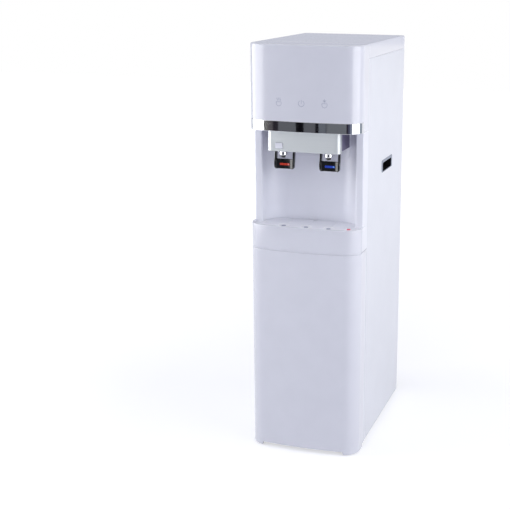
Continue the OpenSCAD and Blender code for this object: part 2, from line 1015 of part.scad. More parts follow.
module hinge_bracket_bottom() {
    color("silver") {
        block([hinge_x - bracket_r, hinge_y, foot_h - bracket_t],
            [hinge_x + bracket_r, frame_back + 26, foot_h]);
        cyl_z(hinge_x, hinge_y, foot_h - bracket_t, foot_h, bracket_r);
        cyl_z(hinge_x, hinge_y, foot_h - bracket_t, arch_z + wall + bush_h - 3, hinge_r);
    }
}

module hinge_bracket_top() {
    plate_z0 = door_top + 0.3;
    color("silver") {
        block([hinge_x - bracket_r, hinge_y, plate_z0],
            [hinge_x + bracket_r, panel_y, plate_z0 + top_bracket_t]);
        cyl_z(hinge_x, hinge_y, plate_z0, plate_z0 + top_bracket_t, bracket_r);
        cyl_z(hinge_x, hinge_y, door_top - wall - bush_h + 3, plate_z0 + top_bracket_t, hinge_r);
        block([hinge_x - bracket_r, panel_y - top_bracket_t, plate_z0],
            [hinge_x + bracket_r, panel_y, deck_top - 1.5]);
    }
}

catch_z = door_z + door_h / 2;
strike_t = 0.8;
catch_gap = 0.3;

module door_strike() {
    color("silver")
        block([lip_right + 1, door_rear, catch_z - 20], [half_w - wall, door_rear + strike_t, catch_z + 20]);
}

module door_catch() {
    color("dimgray")
        block([lip_right + 1.5, door_rear + strike_t + catch_gap, catch_z - 15],
            [half_w - wall, panel_y, catch_z + 15]);
}

// ---- Bottle and suction line ----
neck_r = 26.5;
neck_h = 58;
collar_grip = 13;
collar_h = 30;
collar_r = 30.5;
probe_r = 35;
probe_h = 34;
tube_r = 5;
probe_z = deck_z - probe_room - probe_h;
collar_z = probe_z - collar_h;
neck_z = collar_z + collar_grip - neck_h;
bottle_h = neck_z - shelf_z;

// Outer outline of the bottle from the base to the root of the neck, as [radius, height]
function bottle_outline() = concat(
    // base ring
    [[bottle_r - 25, 0], [bottle_r - 12, 6], [bottle_r - 5, 20], [bottle_r - 4, 34], [bottle_r - 4, 68]],
    // lower waist and middle ring
    [[bottle_r - 9, 78], [bottle_r - 10, 0.48 * bottle_h], [bottle_r - 3, 0.505 * bottle_h]],
    [[bottle_r - 3, 0.605 * bottle_h], [bottle_r - 8, 0.625 * bottle_h], [bottle_r - 8, 0.73 * bottle_h]],
    // upper ring, shoulder and root of the neck
    [[bottle_r, 0.785 * bottle_h], [bottle_r, 0.885 * bottle_h], [bottle_r - 8, bottle_h - 30]],
    [[bottle_r - 30, bottle_h - 14], [bottle_r - 70, bottle_h - 5], [neck_r + 6, bottle_h - 2]],
    [[neck_r, bottle_h + 6]]);
function bottle_inside() = [for (p = bottle_outline())
    p[1] < bottle_h / 2 ? [p[0] - bottle_t, max(p[1], bottle_t)] : [p[0] - bottle_t, p[1] - bottle_t]];

module bottle() {
    top = bottle_h + neck_h;
    color("lightskyblue", 0.5)
        translate([0, 0, shelf_z])
            rotate_extrude()
                polygon(concat(
                    [[0, 6], [bottle_r - 55, 6], [bottle_r - 40, 0]],
                    bottle_outline(),
                    [[neck_r, top], [neck_r - bottle_t, top]],
                    reversed(bottle_inside()),
                    [[bottle_r - 40, bottle_t], [bottle_r - 55, 6 + bottle_t], [0, 6 + bottle_t]]));
}

module bottle_collar() {
    color("royalblue")
        translate([0, 0, collar_z])
            rotate_extrude()
                polygon([[neck_r + 0.02, 0], [collar_r, 0], [collar_r, collar_h - 2],
                         [collar_r - 2, collar_h], [tube_r + 0.1, collar_h],
                         [tube_r + 0.1, collar_grip], [neck_r + 0.02, collar_grip]]);
}

barb_z = probe_z + 15;
barb_x = 40;

module probe_head() {
    color("white") {
        translate([0, 0, probe_z])
            rotate_extrude()
                polygon([[0, 0], [probe_r - 3, 0], [probe_r, 4], [probe_r, 20], [probe_r - 6, 28],
                         [probe_r - 16, 28], [probe_r - 18, probe_h], [0, probe_h]]);
        cyl_x(probe_r - 5, barb_x, 0, barb_z, 4);
    }
}

module dip_tube() {
    color("white")
        difference() {
            cyl_z(0, 0, shelf_z + 16, probe_z, tube_r);
            cyl_z(0, 0, shelf_z + 15, probe_z - 1, tube_r - 1.2);
        }
}

// Route of the soft hose from the probe's barb, in front of the bottle and up to the deck's grommet
hose_r = 4;
hose_points = [
    [40, 0, 538], [52, -1, 539], [65, -6, 537], [78, -16, 530], [89, -32, 517], [97, -52, 499],
    [101, -74, 476], [101, -96, 450], [96, -116, 424], [84, -131, 401], [66, -140, 383], [43, -143, 371],
    [17, -143, 366], [-10, -143, 367], [-36, -143, 375], [-60, -143, 390], [-80, -142, 410],
    [-97, -139, 434], [-109, -134, 461], [-117, -128, 489], [-121, -123, 517], [-122, -120, 545],
    [-122, -120, 564], [-122, -120, 583]];

function unit(v) = v / norm(v);
function tangent(p, i) = unit(p[min(i + 1, len(p) - 1)] - p[max(i - 1, 0)]);
function ring(c, t, up, r, n) =
    let (side = unit(cross(t, up)), rise = cross(side, t))
        [for (k = [0:n - 1]) c + r * (cos(360 * k / n) * side + sin(360 * k / n) * rise)];

// A tube swept along a line of points; up is never parallel to the line
module swept_tube(p, r, n, up) {
    points = [for (i = [0:len(p) - 1]) each ring(p[i], tangent(p, i), up[min(i, len(up) - 1)], r, n)];
    last = len(p) - 1;
    sides = [for (i = [0:last - 1], k = [0:n - 1])
        let (a = i * n + k, b = i * n + (k + 1) % n)
            each [[a, b, b + n], [a, b + n, a + n]]];
    ends = [[for (k = [n - 1:-1:0]) k], [for (k = [0:n - 1]) last * n + k]];
    polyhedron(points = points, faces = concat(sides, ends), convexity = 6);
}

module suction_hose() {
    color("white")
        swept_tube(hose_points, hose_r, 10, [[0.3, 1, 0.2]]);
}

module hose_grommet() {
    color("dimgray") {
        cyl_z(grommet_at[0], grommet_at[1], deck_z - grommet_h, deck_z, grommet_r + 4);
        cyl_z(grommet_at[0], grommet_at[1], deck_z - grommet_h, deck_top + 4, grommet_r);
    }
}

// ---- Condenser ----
coil_z = deck_z - 20 - coil_pitch * (coil_runs - 1);
wire_r = 0.7;
wire_pitch = 12;
wire_side = floor(coil_half / wire_pitch);

function coil_points() = [for (k = [0:coil_runs - 1])
    let (side = k % 2 == 0 ? 1 : -1, z = coil_z + k * coil_pitch)
        each concat([[-side * coil_half, coil_y, z], [side * coil_half, coil_y, z]],
            k == coil_runs - 1 ? [] : [for (a = [-60:30:60])
                [side * (coil_half + coil_pitch / 2 * cos(a)), coil_y, z + coil_pitch / 2 * (1 + sin(a))]])];

module condenser_coil() {
    color("dimgray")
        swept_tube(coil_points(), coil_r, 8, [[0, 1, 0]]);
}

module condenser_wires() {
    color("gray")
        for (k = [-wire_side:wire_side], side = [-1, 1])
            cyl_z(k * wire_pitch, coil_y + side * (coil_r + wire_r + 0.02), coil_z - 8,
                coil_z + coil_pitch * (coil_runs - 1) + 8, wire_r);
}

module condenser_brackets() {
    // each saddle sits between the last two wires
    saddle = (wire_side - 0.5) * wire_pitch;
    color("silver")
        both_sides()
            for (k = [1, coil_runs - 2]) {
                z = coil_z + k * coil_pitch;
                block([saddle - 5, rear_y - 2 * sheet_t, z - 9], [inner_half, rear_y - sheet_t, z + 9]);
                block([saddle - 1.5, coil_y + coil_r, z - 5], [saddle + 1.5, rear_y - sheet_t, z + 5]);
            }
}

// ---- Upper compartment ----
comp_r = 62;
comp_h = 150;
comp_rim = 3;
comp_gap = 27;
comp_y = rear_panel_y - comp_gap - comp_r - comp_rim;

module compressor() {
    rim_z = comp_h / 2;
    rim_r = comp_r + comp_rim;
    plate_half_y = comp_r - 12;
    color("black")
        translate([0, comp_y, deck_top]) {
            translate([0, 0, 12])
                rotate_extrude()
                    polygon(concat(
                        [[0, 0], [comp_r - 14, 0]],
                        arc([comp_r - 14, 14], 14, -60, 0, 4),
                        // the welded rim between the two half shells
                        [[comp_r, rim_z], [rim_r, rim_z], [rim_r, rim_z + 4], [comp_r, rim_z + 4]],
                        arc([comp_r - 30, comp_h - 30], 30, 0, 90, 6),
                        [[0, comp_h]]));
            difference() {
                block([-comp_r - 8, -plate_half_y, 9], [comp_r + 8, plate_half_y, 12]);
                cylinder(r = comp_r - 22, h = 40);
            }
            for (x = [-1, 1], y = [-1, 1])
                translate([x * (comp_r - 4), y * (plate_half_y - 9), 0])
                    cylinder(r = 8, h = 9);
        }
}

cold_r = 65;
cold_h = 210;
hot_r = 46;
hot_h = 175;
tank_side = 20.8;
tank_gap = 19.5;

// A tank stands behind the niche wall, clear of the side panel
module tank(side, r, h) {
    translate([side * (inner_half - tank_side - r), back_y + wall + tank_gap + r, deck_top])
        rotate_extrude()
            polygon(concat(
                [[0, 0], [r - 4, 0], [r, 4]],
                arc([r - 14, h - 14], 14, 0, 90, 4),
                [[12, h], [12, h + 12], [0, h + 12]]));
}

module cold_tank() {
    color("lightblue")
        tank(-1, cold_r, cold_h);
}

module hot_tank() {
    color("silver")
        tank(1, hot_r, hot_h);
}

pump_r = 26;
pump_w = 48;
pump_foot = 4;
pump_x0 = 4 - inner_half;
pump_y = rear_panel_y - 72;

module water_pump() {
    color("dimgray") {
        block([pump_x0, pump_y - pump_r - 6, deck_top],
            [pump_x0 + pump_w, pump_y + pump_r + 6, deck_top + 6]);
        cyl_x(pump_x0 + 2, pump_x0 + pump_w - 2, pump_y, deck_top + pump_foot + pump_r, pump_r);
    }
}

board_half = 80;
board_h = 82;
board_t = 1.6;
board_y = nozzle_y + 4;
stalk_h = 4;
lamp_up = 50;

module control_board() {
    color("seagreen") {
        block([-board_half, board_y, band_z + wall],
            [board_half, board_y + board_t, band_z + wall + board_h]);
        both_sides()
            block([board_half - 18, board_y + board_t, band_z + wall],
                [board_half - 10, board_y + 16, band_z + wall + 3]);
        for (x = [-tap_x, 0, tap_x])
            cyl_y(x, board_y - stalk_h - 1, board_y, head_z + lamp_up, 6);
    }
}

// ---- Rear fittings ----
module cord_gland() {
    color("black")
        difference() {
            union() {
                cyl_y(gland_at[0], rear_panel_y - 10, rear_panel_y + 10, gland_at[1], gland_r);
                cyl_y(gland_at[0], rear_panel_y + sheet_t, rear_panel_y + sheet_t + 4,
                    gland_at[1], gland_r + 4);
            }
            cyl_y(gland_at[0], rear_panel_y - 11, rear_panel_y + 11, gland_at[1], 4);
        }
}

module drain_spigot() {
    color("white") {
        cyl_y(spigot_at[0], rear_panel_y - 12, rear_panel_y + sheet_t + 18, spigot_at[1], spigot_r);
        cyl_y(spigot_at[0], rear_panel_y + sheet_t, rear_panel_y + sheet_t + 3, spigot_at[1], spigot_r + 5);
    }
}

rocker_w = 15;
rocker_h = 25;
rocker_tilt = 8;
rocker_pin = 1.5;

module switch_bezels() {
    color("black")
        for (x = switch_x)
            difference() {
                union() {
                    block([x - bezel_w / 2, rear_panel_y - 12, switch_z - bezel_h / 2],
                        [x + bezel_w / 2, rear_panel_y + sheet_t + 2, switch_z + bezel_h / 2]);
                    block([x - bezel_w / 2 - 2, rear_panel_y + sheet_t, switch_z - bezel_h / 2 - 2],
                        [x + bezel_w / 2 + 2, rear_panel_y + sheet_t + 2, switch_z + bezel_h / 2 + 2]);
                }
                block([x - rocker_w / 2 - 0.5, rear_panel_y - 10, switch_z - rocker_h / 2 - 1],
                    [x + rocker_w / 2 + 0.5, rear_panel_y + 10, switch_z + rocker_h / 2 + 1]);
                cyl_x(x - rocker_w / 2 - 2.5, x + rocker_w / 2 + 2.5, rear_panel_y, switch_z,
                    rocker_pin + pin_gap);
            }
}

module rocker(x) {
    cyl_x(x - rocker_w / 2 - 2, x + rocker_w / 2 + 2, rear_panel_y, switch_z, rocker_pin);
    translate([0, rear_panel_y, switch_z])
        rotate([rocker_tilt, 0, 0])
            along_x(x - rocker_w / 2, x + rocker_w / 2)
                polygon([[-4, -rocker_h / 2], [5, -rocker_h / 2], [3, 0],
                         [5, rocker_h / 2], [-4, rocker_h / 2]]);
}

module hot_switch() {
    color("red")
        rocker(switch_x[0]);
}

module cold_switch() {
    color("green")
        rocker(switch_x[1]);
}

base_plate();
levelling_feet();
corner_blocks();
base_front_pad();
bottle_shelf();
front_frame();
side_panel_left();
side_panel_right();
handle_left();
handle_right();
mid_deck();
rear_panel();
cross_strap();
top_cover();
head_shell();
chrome_band();
niche_shell();
tray_housing();
apron();
tap_back_plate();
tap_housing();
tap_shroud();
hot_nozzle();
cold_nozzle();
outlet_tips();
lever_pins();
condenser_coil();
condenser_wires();
condenser_brackets();
compressor();
cold_tank();
hot_tank();
water_pump();
control_board();
cord_gland();
drain_spigot();
switch_bezels();
hinge_bracket_top();
hinge_bracket_bottom();
door_catch();
bottle();
bottle_collar();
probe_head();
dip_tube();
suction_hose();
hose_grommet();
door_shell();
door_bush_top();
door_bush_bottom();
door_strike();
hot_lever();
hot_stripe();
cold_lever();
cold_stripe();
lock_button();
drip_tray();
drip_grille();
overflow_float();
hot_switch();
cold_switch();
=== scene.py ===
# %% [markdown]
# # A hot and cold water dispenser
# The real object is a white cabinet about 1.13 m tall that stands on the floor. A 19 litre bottle
# stands in a bay behind the lower door, and a pump lifts its water through a soft hose to two tanks.
# A niche at hand height holds a hot and a cold tap, each worked by a black lever.
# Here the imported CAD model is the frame: it gives every position and every moving body. Blender adds
# smooth shells, edges, finishes and light over it, in metres and in the same place.

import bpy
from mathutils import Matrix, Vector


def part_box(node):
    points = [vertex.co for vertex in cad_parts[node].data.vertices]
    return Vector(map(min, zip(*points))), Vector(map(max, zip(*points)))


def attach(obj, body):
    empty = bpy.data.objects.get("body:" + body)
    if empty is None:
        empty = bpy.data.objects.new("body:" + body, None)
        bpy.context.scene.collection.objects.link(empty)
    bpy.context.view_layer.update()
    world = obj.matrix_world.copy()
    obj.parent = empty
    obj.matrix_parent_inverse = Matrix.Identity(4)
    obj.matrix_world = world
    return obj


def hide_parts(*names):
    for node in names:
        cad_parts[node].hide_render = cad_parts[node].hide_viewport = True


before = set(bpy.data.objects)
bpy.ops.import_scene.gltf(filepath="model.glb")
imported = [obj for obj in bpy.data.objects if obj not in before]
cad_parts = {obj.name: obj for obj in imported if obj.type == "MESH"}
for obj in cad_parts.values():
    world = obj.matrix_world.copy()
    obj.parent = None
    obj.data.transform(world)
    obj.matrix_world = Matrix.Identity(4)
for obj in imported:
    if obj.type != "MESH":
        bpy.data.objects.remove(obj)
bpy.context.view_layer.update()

# %% [markdown]
# ## Names for the sizes
# A drawing of such a cabinet has a few heights and depths that everything hangs on. They could be
# typed again here, but then they could drift from the CAD, so they are read from the nodes' boxes.
# Only what a box can't tell, such as a radius, is a number of its own.

# %% Sizes in millimetres
from contextlib import contextmanager
from math import asin, cos, degrees, pi, radians, sin, sqrt

import bmesh
import bpy
from mathutils import Matrix, Vector

MM = 0.001


def span(node):
    """The lowest and the highest corner of a CAD node, in millimetres."""
    low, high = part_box(node)
    return [round(v / MM, 2) for v in low], [round(v / MM, 2) for v in high]


def middle(node):
    """The centre of a CAD node's box, in millimetres."""
    return [(a + b) / 2 for a, b in zip(*span(node))]


half_w = span("side_panel_right")[1][0]
front_y, seam_y = span("head_shell")[0][1], span("head_shell")[1][1]
panel_y, rear_y = span("top_cover")[0][1], span("top_cover")[1][1]
band_z, head_z = span("chrome_band")[0][2], span("chrome_band")[1][2]
cover_z, top_z = span("top_cover")[0][2], span("top_cover")[1][2]
apron_z, niche_z = span("apron")[0][2], span("apron")[1][2]
door_z, door_top = span("door_shell")[0][2], span("door_shell")[1][2]
back_y = span("tap_back_plate")[1][1]
shroud_low, shroud_high = span("tap_shroud")
deck_low, deck_high = span("mid_deck")
seam_gap = 0.5
band_y = span("chrome_band")[1][1] + seam_gap
panel_z = span("side_panel_right")[0][2]
nozzle_r = 10.5
nozzle_y = middle("hot_nozzle")[1]
tap_x = span("cold_nozzle")[1][0] - nozzle_r
taps = ((-tap_x, "hot"), (tap_x, "cold"))
sides = ((1, "right"), (-1, "left"))

wall = 2.5
sheet_t = 1.2
post_y = front_y + 60
crown_r = 930
corner_r = 45
edge_r = 4
corner_x = half_w - corner_r
crown_y = front_y + crown_r
corner_y = crown_y - sqrt((crown_r - corner_r) ** 2 - corner_x ** 2)
crown_a = degrees(asin(corner_x / (crown_r - corner_r)))
print(f"cabinet {2 * half_w:.0f} x {rear_y - front_y:.0f} x {top_z:.0f} mm,",
      f"niche {niche_z}-{band_z} mm, door {door_z}-{door_top} mm, taps at x = +-{tap_x} mm")

# %% [markdown]
# ## The camera
# A tall cabinet is best seen from a little to one side and above its middle, with a long lens, so that
# the front and one side show and the upright edges stay nearly parallel. The lens is shifted sideways
# because the cabinet stands right of the middle of the frame.


# %% Camera
def in_scene(name, data):
    """A new object that holds the data, linked to the scene."""
    thing = bpy.data.objects.new(name, data)
    bpy.context.scene.collection.objects.link(thing)
    return thing


camera_at = Vector((0.848758, -2.803427, 1.308796))
turn, tilt, roll = -0.285767, -0.250558, 0.007904
forward = Vector((sin(turn) * cos(tilt), cos(turn) * cos(tilt), sin(tilt)))
level = Vector((cos(turn), -sin(turn), 0))
above = level.cross(forward)
view_right = level * cos(roll) + above * sin(roll)
view_up = above * cos(roll) - level * sin(roll)

lens = bpy.data.cameras.new("studio_camera")
lens.lens = 73.75
lens.shift_x = -0.1606
lens.shift_y = -0.0341
camera = in_scene("studio_camera", lens)
axes = Matrix((view_right, view_up, -forward)).transposed().to_4x4()
camera.matrix_world = Matrix.Translation(camera_at) @ axes
bpy.context.scene.camera = camera
print(f"camera {camera_at.xy.length:.2f} m from the middle, {degrees(-tilt):.1f} degrees down")

# %% [markdown]
# ## Solids from an outline
# Most parts of the cabinet are mouldings or folded sheet: one outline, drawn from above or from the
# side, pulled up through a few heights with a rounded edge. A loft through rings gives that with even
# faces, which shade more cleanly than a shape cut from a box. A turned part is the same loft, with
# its rings stacked round an axis.


# %% Meshes in millimetres
@contextmanager
def edited(mesh):
    """Opens a mesh for editing, and writes it back with its faces turned outwards."""
    shape = bmesh.new()
    shape.from_mesh(mesh)
    yield shape
    bmesh.ops.recalc_face_normals(shape, faces=shape.faces)
    shape.to_mesh(mesh)
    shape.free()


def raw_mesh(name, points, edges=(), faces=()):
    """A mesh from points in millimetres; Blender keeps metres."""
    mesh = bpy.data.meshes.new(name)
    mesh.from_pydata([[c * MM for c in p] for p in points], edges, faces)
    return mesh


def new_piece(name, points, faces):
    """An object from points in millimetres, with doubled points merged."""
    mesh = raw_mesh(name, points, faces=faces)
    with edited(mesh) as shape:
        bmesh.ops.remove_doubles(shape, verts=shape.verts, dist=1e-7)
        bmesh.ops.dissolve_degenerate(shape, dist=1e-8, edges=shape.edges)
    return in_scene(name, mesh)


print("meshes: edited, raw_mesh, new_piece")

# %% Solids
# FAR is past every side of the cabinet and FULL is above its top, for cutters that go right through
FAR, FULL = 400, 2000


def loft(name, rings, closed=False, caps=True):
    """A skin through rings of equally many points, capped at both ends or closed on itself."""
    n, count = len(rings[0]), len(rings)
    faces = []
    for ring in range(count if closed else count - 1):
        here, there = ring * n, (ring + 1) % count * n
        faces += [[here + k, here + (k + 1) % n, there + (k + 1) % n, there + k] for k in range(n)]
    if caps and not closed:
        faces += [list(range(n))[::-1], [(count - 1) * n + k for k in range(n)]]
    return new_piece(name, [p for ring in rings for p in ring], faces)


def prism(name, outline, low, high, axis=2):
    """An outline pulled along an axis: 2 for z (x, y drawn), 0 for x (y, z), 1 for y (x, z)."""
    def put(p, q):
        return {0: (q, p[0], p[1]), 1: (p[0], q, p[1]), 2: (p[0], p[1], q)}[axis]
    return loft(name, [[put(p, q) for p in outline] for q in (low, high)])


def block(name, low, high):
    """A box between two corners."""
    outline = [(low[0], low[1]), (high[0], low[1]), (high[0], high[1]), (low[0], high[1])]
    return prism(name, outline, low[2], high[2])


def slab(name, front, back, low=0, high=FULL):
    """A cutter wider than the cabinet, between two depths and two heights."""
    return block(name, (-FAR, front, low), (FAR, back, high))


def lathe(name, profile, x=0, y=0, z=0, sides=64):
    """A profile of (radius, height) turned round an upright axis; it closes on itself off the axis."""
    rings = [[(x + r * cos(2 * pi * k / sides), y + r * sin(2 * pi * k / sides), z + h)
              for k in range(sides)] for r, h in profile]
    on_axis = profile[0][0] < 1e-6 and profile[-1][0] < 1e-6
    return loft(name, rings, closed=not on_axis, caps=False)


def peg(name, r, low, high, x=0, y=0, z=0, sides=64):
    """A plain round peg between two heights, for bosses, bores and wires."""
    return lathe(name, [(0, low), (r, low), (r, high), (0, high)], x, y, z, sides)


print("solids: loft, prism, block, slab, lathe, peg")

# %% [markdown]
# ## Cutting and finishing
# Openings and joints are Boolean modifiers with exact solving, because a moulding's walls are thin.
# At the end a Bevel modifier breaks each sharp edge, because no moulded edge is perfectly sharp, and
# Weighted Normal keeps the flat faces flat. Then the piece gets its material, the moving body that it
# rides on and the CAD node that it stands for.


# %% Cutting and finishing
def drop(*pieces):
    """Takes away pieces that were only there to cut with or to be copied."""
    for piece in pieces:
        mesh = piece.data
        bpy.data.objects.remove(piece)
        bpy.data.meshes.remove(mesh)


def bake(piece):
    """The evaluated mesh becomes the piece's own, and its modifiers go."""
    bpy.context.view_layer.update()
    graph = bpy.context.evaluated_depsgraph_get()
    mesh = bpy.data.meshes.new_from_object(piece.evaluated_get(graph))
    spent = piece.data
    piece.modifiers.clear()
    piece.data = mesh
    mesh.name = piece.name
    bpy.data.meshes.remove(spent)
    return piece


def carve(piece, operation, *tools):
    """Boolean DIFFERENCE, UNION or INTERSECT with other solids, which are used up."""
    for tool in tools:
        cut = piece.modifiers.new(operation, "BOOLEAN")
        cut.operation = operation
        cut.solver = "EXACT"
        cut.object = tool
    bake(piece)
    drop(*tools)
    return piece


def soften(piece, width, segments=2, angle=32):
    """Rounds each edge sharper than the angle by a width in millimetres, then shades smoothly."""
    for polygon in piece.data.polygons:
        polygon.use_smooth = True
    if width:
        bevel = piece.modifiers.new("edges", "BEVEL")
        bevel.width = width * MM
        bevel.segments = segments
        bevel.limit_method = "ANGLE"
        bevel.angle_limit = radians(angle)
        bevel.use_clamp_overlap = False
        bevel.miter_outer = "MITER_ARC"
    normals = piece.modifiers.new("normals", "WEIGHTED_NORMAL")
    normals.keep_sharp = True
    return bake(piece)


def place(piece, body, slot, material, *nodes):
    """Gives a finished piece its material, its body and the CAD nodes that it stands for."""
    piece.data.materials.clear()
    piece.data.materials.append(material)
    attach(piece, body)
    if nodes:
        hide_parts(*nodes)
    print(f"{piece.name}: {len(piece.data.polygons)} faces on {body}")
    return piece


print("finishing: bake, carve, soften, place")

# %% [markdown]
# ## Outlines
# Seen from above, the front of the cabinet is a wide, flat crown that runs smoothly into two corner
# arcs. The head, the band, the apron and the door all share it, so it is one function with an inset.
# More points than the CAD has make the reflections slide round the corners without facets.


# %% Outlines
def arc(x, y, r, start, stop, steps):
    """Points along an arc, angles in degrees."""
    turns = [radians(start + (stop - start) * i / steps) for i in range(steps + 1)]
    return [(x + r * cos(a), y + r * sin(a)) for a in turns]


def mirrored(points):
    return [(-x, y) for x, y in reversed(points)]


def rounded_rect(x0, x1, y0, y1, r, steps=8):
    return (arc(x1 - r, y1 - r, r, 0, 90, steps) + arc(x0 + r, y1 - r, r, 90, 180, steps)
            + arc(x0 + r, y0 + r, r, 180, 270, steps) + arc(x1 - r, y0 + r, r, 270, 360, steps))


def front_arcs(inset):
    corner = arc(corner_x, corner_y, corner_r - inset, 0, crown_a - 90, 20)
    crown = [((crown_r - inset) * sin(a), crown_y - (crown_r - inset) * cos(a))
             for a in (radians(crown_a * (1 - 2 * i / 32)) for i in range(1, 32))]
    return corner + crown + mirrored(corner)


def front_outline(inset, y):
    return [(half_w - inset, y)] + front_arcs(inset) + [(inset - half_w, y)]


def levels(low, high, r_low, r_high, steps=6):
    """(height, inset) pairs for a wall whose lower and upper edges are rounded."""
    quarter = [radians(90 * i / steps) for i in range(steps + 1)]
    under, over = [(low, 0)], [(high, 0)]
    if r_low:
        under = [(low + r_low * (1 - cos(a)), r_low * (1 - sin(a))) for a in quarter]
    if r_high:
        over = [(high - r_high * (1 - sin(a)), r_high * (1 - cos(a))) for a in quarter]
    return under + over


def rise(outline, heights):
    """Rings of an outline function at (height, inset) pairs."""
    return [[(x, y, z) for x, y in outline(inset)] for z, inset in heights]


print(f"crown half angle {crown_a:.2f} degrees,",
      f"{len(front_outline(0, seam_y))} points in the front outline")

# %% [markdown]
# ## Helpers for node trees
# Shader trees and Geometry Nodes trees are built the same way: a node is added, its settings are made
# and its inputs are filled or linked. One function does that for every kind of node. Colours are
# written as the hex values that an eye reads on a screen, and turned to the linear values that
# the renderer works in.


# %% Node helpers
def add(tree, kind, inputs=None, **settings):
    """Adds a node with its settings; an input takes a value or another node's output."""
    node = tree.nodes.new(kind)
    for name, value in settings.items():
        setattr(node, name, value)
    for key, value in (inputs or {}).items():
        if isinstance(value, bpy.types.NodeSocket):
            tree.links.new(value, node.inputs[key])
        else:
            node.inputs[key].default_value = value
    return node


def linear(code):
    """An sRGB hex colour as linear red, green, blue and alpha."""
    values = [int(code[i:i + 2], 16) / 255 for i in (1, 3, 5)]
    return [v / 12.92 if v <= 0.04045 else ((v + 0.055) / 1.055) ** 2.4 for v in values] + [1.0]


def empty_tree(owner):
    """The cleared node tree of a material or a world."""
    owner.use_nodes = True
    owner.node_tree.nodes.clear()
    return owner.node_tree


def finish_named(name, colour, roughness, **sockets):
    """A material with one Principled shader; its name says what the real finish is."""
    material = bpy.data.materials.new(name)
    tree = empty_tree(material)
    values = {"Base Color": linear(colour), "Roughness": roughness}
    values.update({key.replace("_", " "): value for key, value in sockets.items()})
    shader = add(tree, "ShaderNodeBsdfPrincipled", values)
    add(tree, "ShaderNodeOutputMaterial", {"Surface": shader.outputs["BSDF"]})
    return material, tree, shader


def field(tree, size, stretch=(1, 1, 1), detail=2):
    """Soft noise on the object's own coordinates, its patches about `size` millimetres across."""
    spot = add(tree, "ShaderNodeTexCoord").outputs["Object"]
    scale = [s / (size * MM) for s in stretch]
    scaled = add(tree, "ShaderNodeMapping", {"Vector": spot, "Scale": scale}).outputs["Vector"]
    return add(tree, "ShaderNodeTexNoise", {"Vector": scaled, "Scale": 1, "Detail": detail}).outputs["Fac"]


def emboss(tree, shader, pattern, depth):
    """Raises the surface by a pattern, depth in millimetres."""
    bump = add(tree, "ShaderNodeBump", {"Height": pattern, "Distance": depth * MM, "Strength": 1})
    tree.links.new(bump.outputs["Normal"], shader.inputs["Normal"])


def blend_colour(tree, shader, pattern, low, high, start=0.35, stop=0.65):
    """Colours the surface from one hex value to another with a pattern."""
    ramp = add(tree, "ShaderNodeValToRGB", {"Fac": pattern})
    for knot, position, code in zip(ramp.color_ramp.elements, (start, stop), (low, high)):
        knot.position, knot.color = position, linear(code)
    tree.links.new(ramp.outputs["Color"], shader.inputs["Base Color"])


def blend_roughness(tree, shader, pattern, low, high):
    """Spreads the roughness between two values with a pattern."""
    spread = add(tree, "ShaderNodeMapRange", {"Value": pattern, "From Min": 0.3, "From Max": 0.7,
                                              "To Min": low, "To Max": high})
    tree.links.new(spread.outputs["Result"], shader.inputs["Roughness"])


print("node helpers ready")

# %% [markdown]
# ## Mouldings and painted steel
# The head, apron and door are injection-moulded ABS with a polished skin: a clean gloss, and a very
# slight waviness left by the mould. The side panels are folded steel sheet with a powder coat, which
# is less glossy and has a fine, even orange peel. Inside the niche the same ABS has a satin skin,
# because a polished one would show every drop. Each finish is a Principled shader with a value
# typical of the material, and its patterns are scaled from millimetres.


# %% White finishes
def mottled(name, colour, roughness, tint=None, sheen=None, relief=None, **sockets):
    """A finish with soft patches, each of its own size in millimetres: tint is (size, low, high)
    for the colour, sheen the same for the roughness, and relief (size, depth) for the skin."""
    material, tree, shader = finish_named(name, colour, roughness, **sockets)
    if tint:
        blend_colour(tree, shader, field(tree, tint[0]), *tint[1:])
    if sheen:
        blend_roughness(tree, shader, field(tree, sheen[0]), *sheen[1:])
    if relief:
        emboss(tree, shader, field(tree, relief[0]), relief[1])
    return material


# polished ABS, IOR 1.54: sharp highlights, mould waviness about 18 mm long
gloss_white = mottled("gloss white ABS, polished mould", "#E2E3EB", 0.1, tint=(60, "#E1E2EA", "#E3E4EC"),
                      sheen=(9, 0.07, 0.13), relief=(18, 0.005), IOR=1.54)
# polyester powder coat on steel: semi-gloss, orange peel 1.2 mm across drawn 2 mm to show
cabinet_white = mottled("white powder-coated steel", "#E2E4EB", 0.3, tint=(90, "#E1E3EA", "#E3E5EC"),
                        sheen=(20, 0.28, 0.34), relief=(2, 0.001), IOR=1.5)
# ABS from a fine-etched mould: a soft sheen, no sharp reflections
satin_white = mottled("satin white ABS, etched mould", "#EDEEF5", 0.32, tint=(50, "#ECEDF4", "#EEEFF6"),
                      sheen=(20, 0.29, 0.35), relief=(1.5, 0.001), IOR=1.54, Specular_IOR_Level=0.35)
print("white finishes:", gloss_white.name, "|", cabinet_white.name, "|", satin_white.name)

# %% [markdown]
# ## Metals
# The band under the head is chrome plating on ABS, a mirror. The taps' shroud is moulded in
# silver-painted ABS brushed along its length, so it has fine level lines and a clear lacquer that
# still takes a sharp highlight at its corners. Hinges and pins are plain zinc-plated steel, and the
# base and the deck are galvanised sheet with its spangle of large crystals.


# %% Metal finishes
def brushed_silver():
    # silver paint brushed level under lacquer; the lines are 0.3 mm apart, drawn 1.4 mm to show
    material, tree, shader = finish_named("brushed silver lacquer", "#CDD1D2", 0.42, Metallic=0.3,
                                          IOR=1.5, Coat_Weight=1.0, Coat_Roughness=0.06,
                                          Coat_IOR=1.7)
    lines = field(tree, 1.4, (0.006, 0.006, 1), 1)
    blend_colour(tree, shader, lines, "#CBD0D1", "#CFD3D4")
    blend_roughness(tree, shader, lines, 0.39, 0.46)
    emboss(tree, shader, lines, 0.002)
    return material


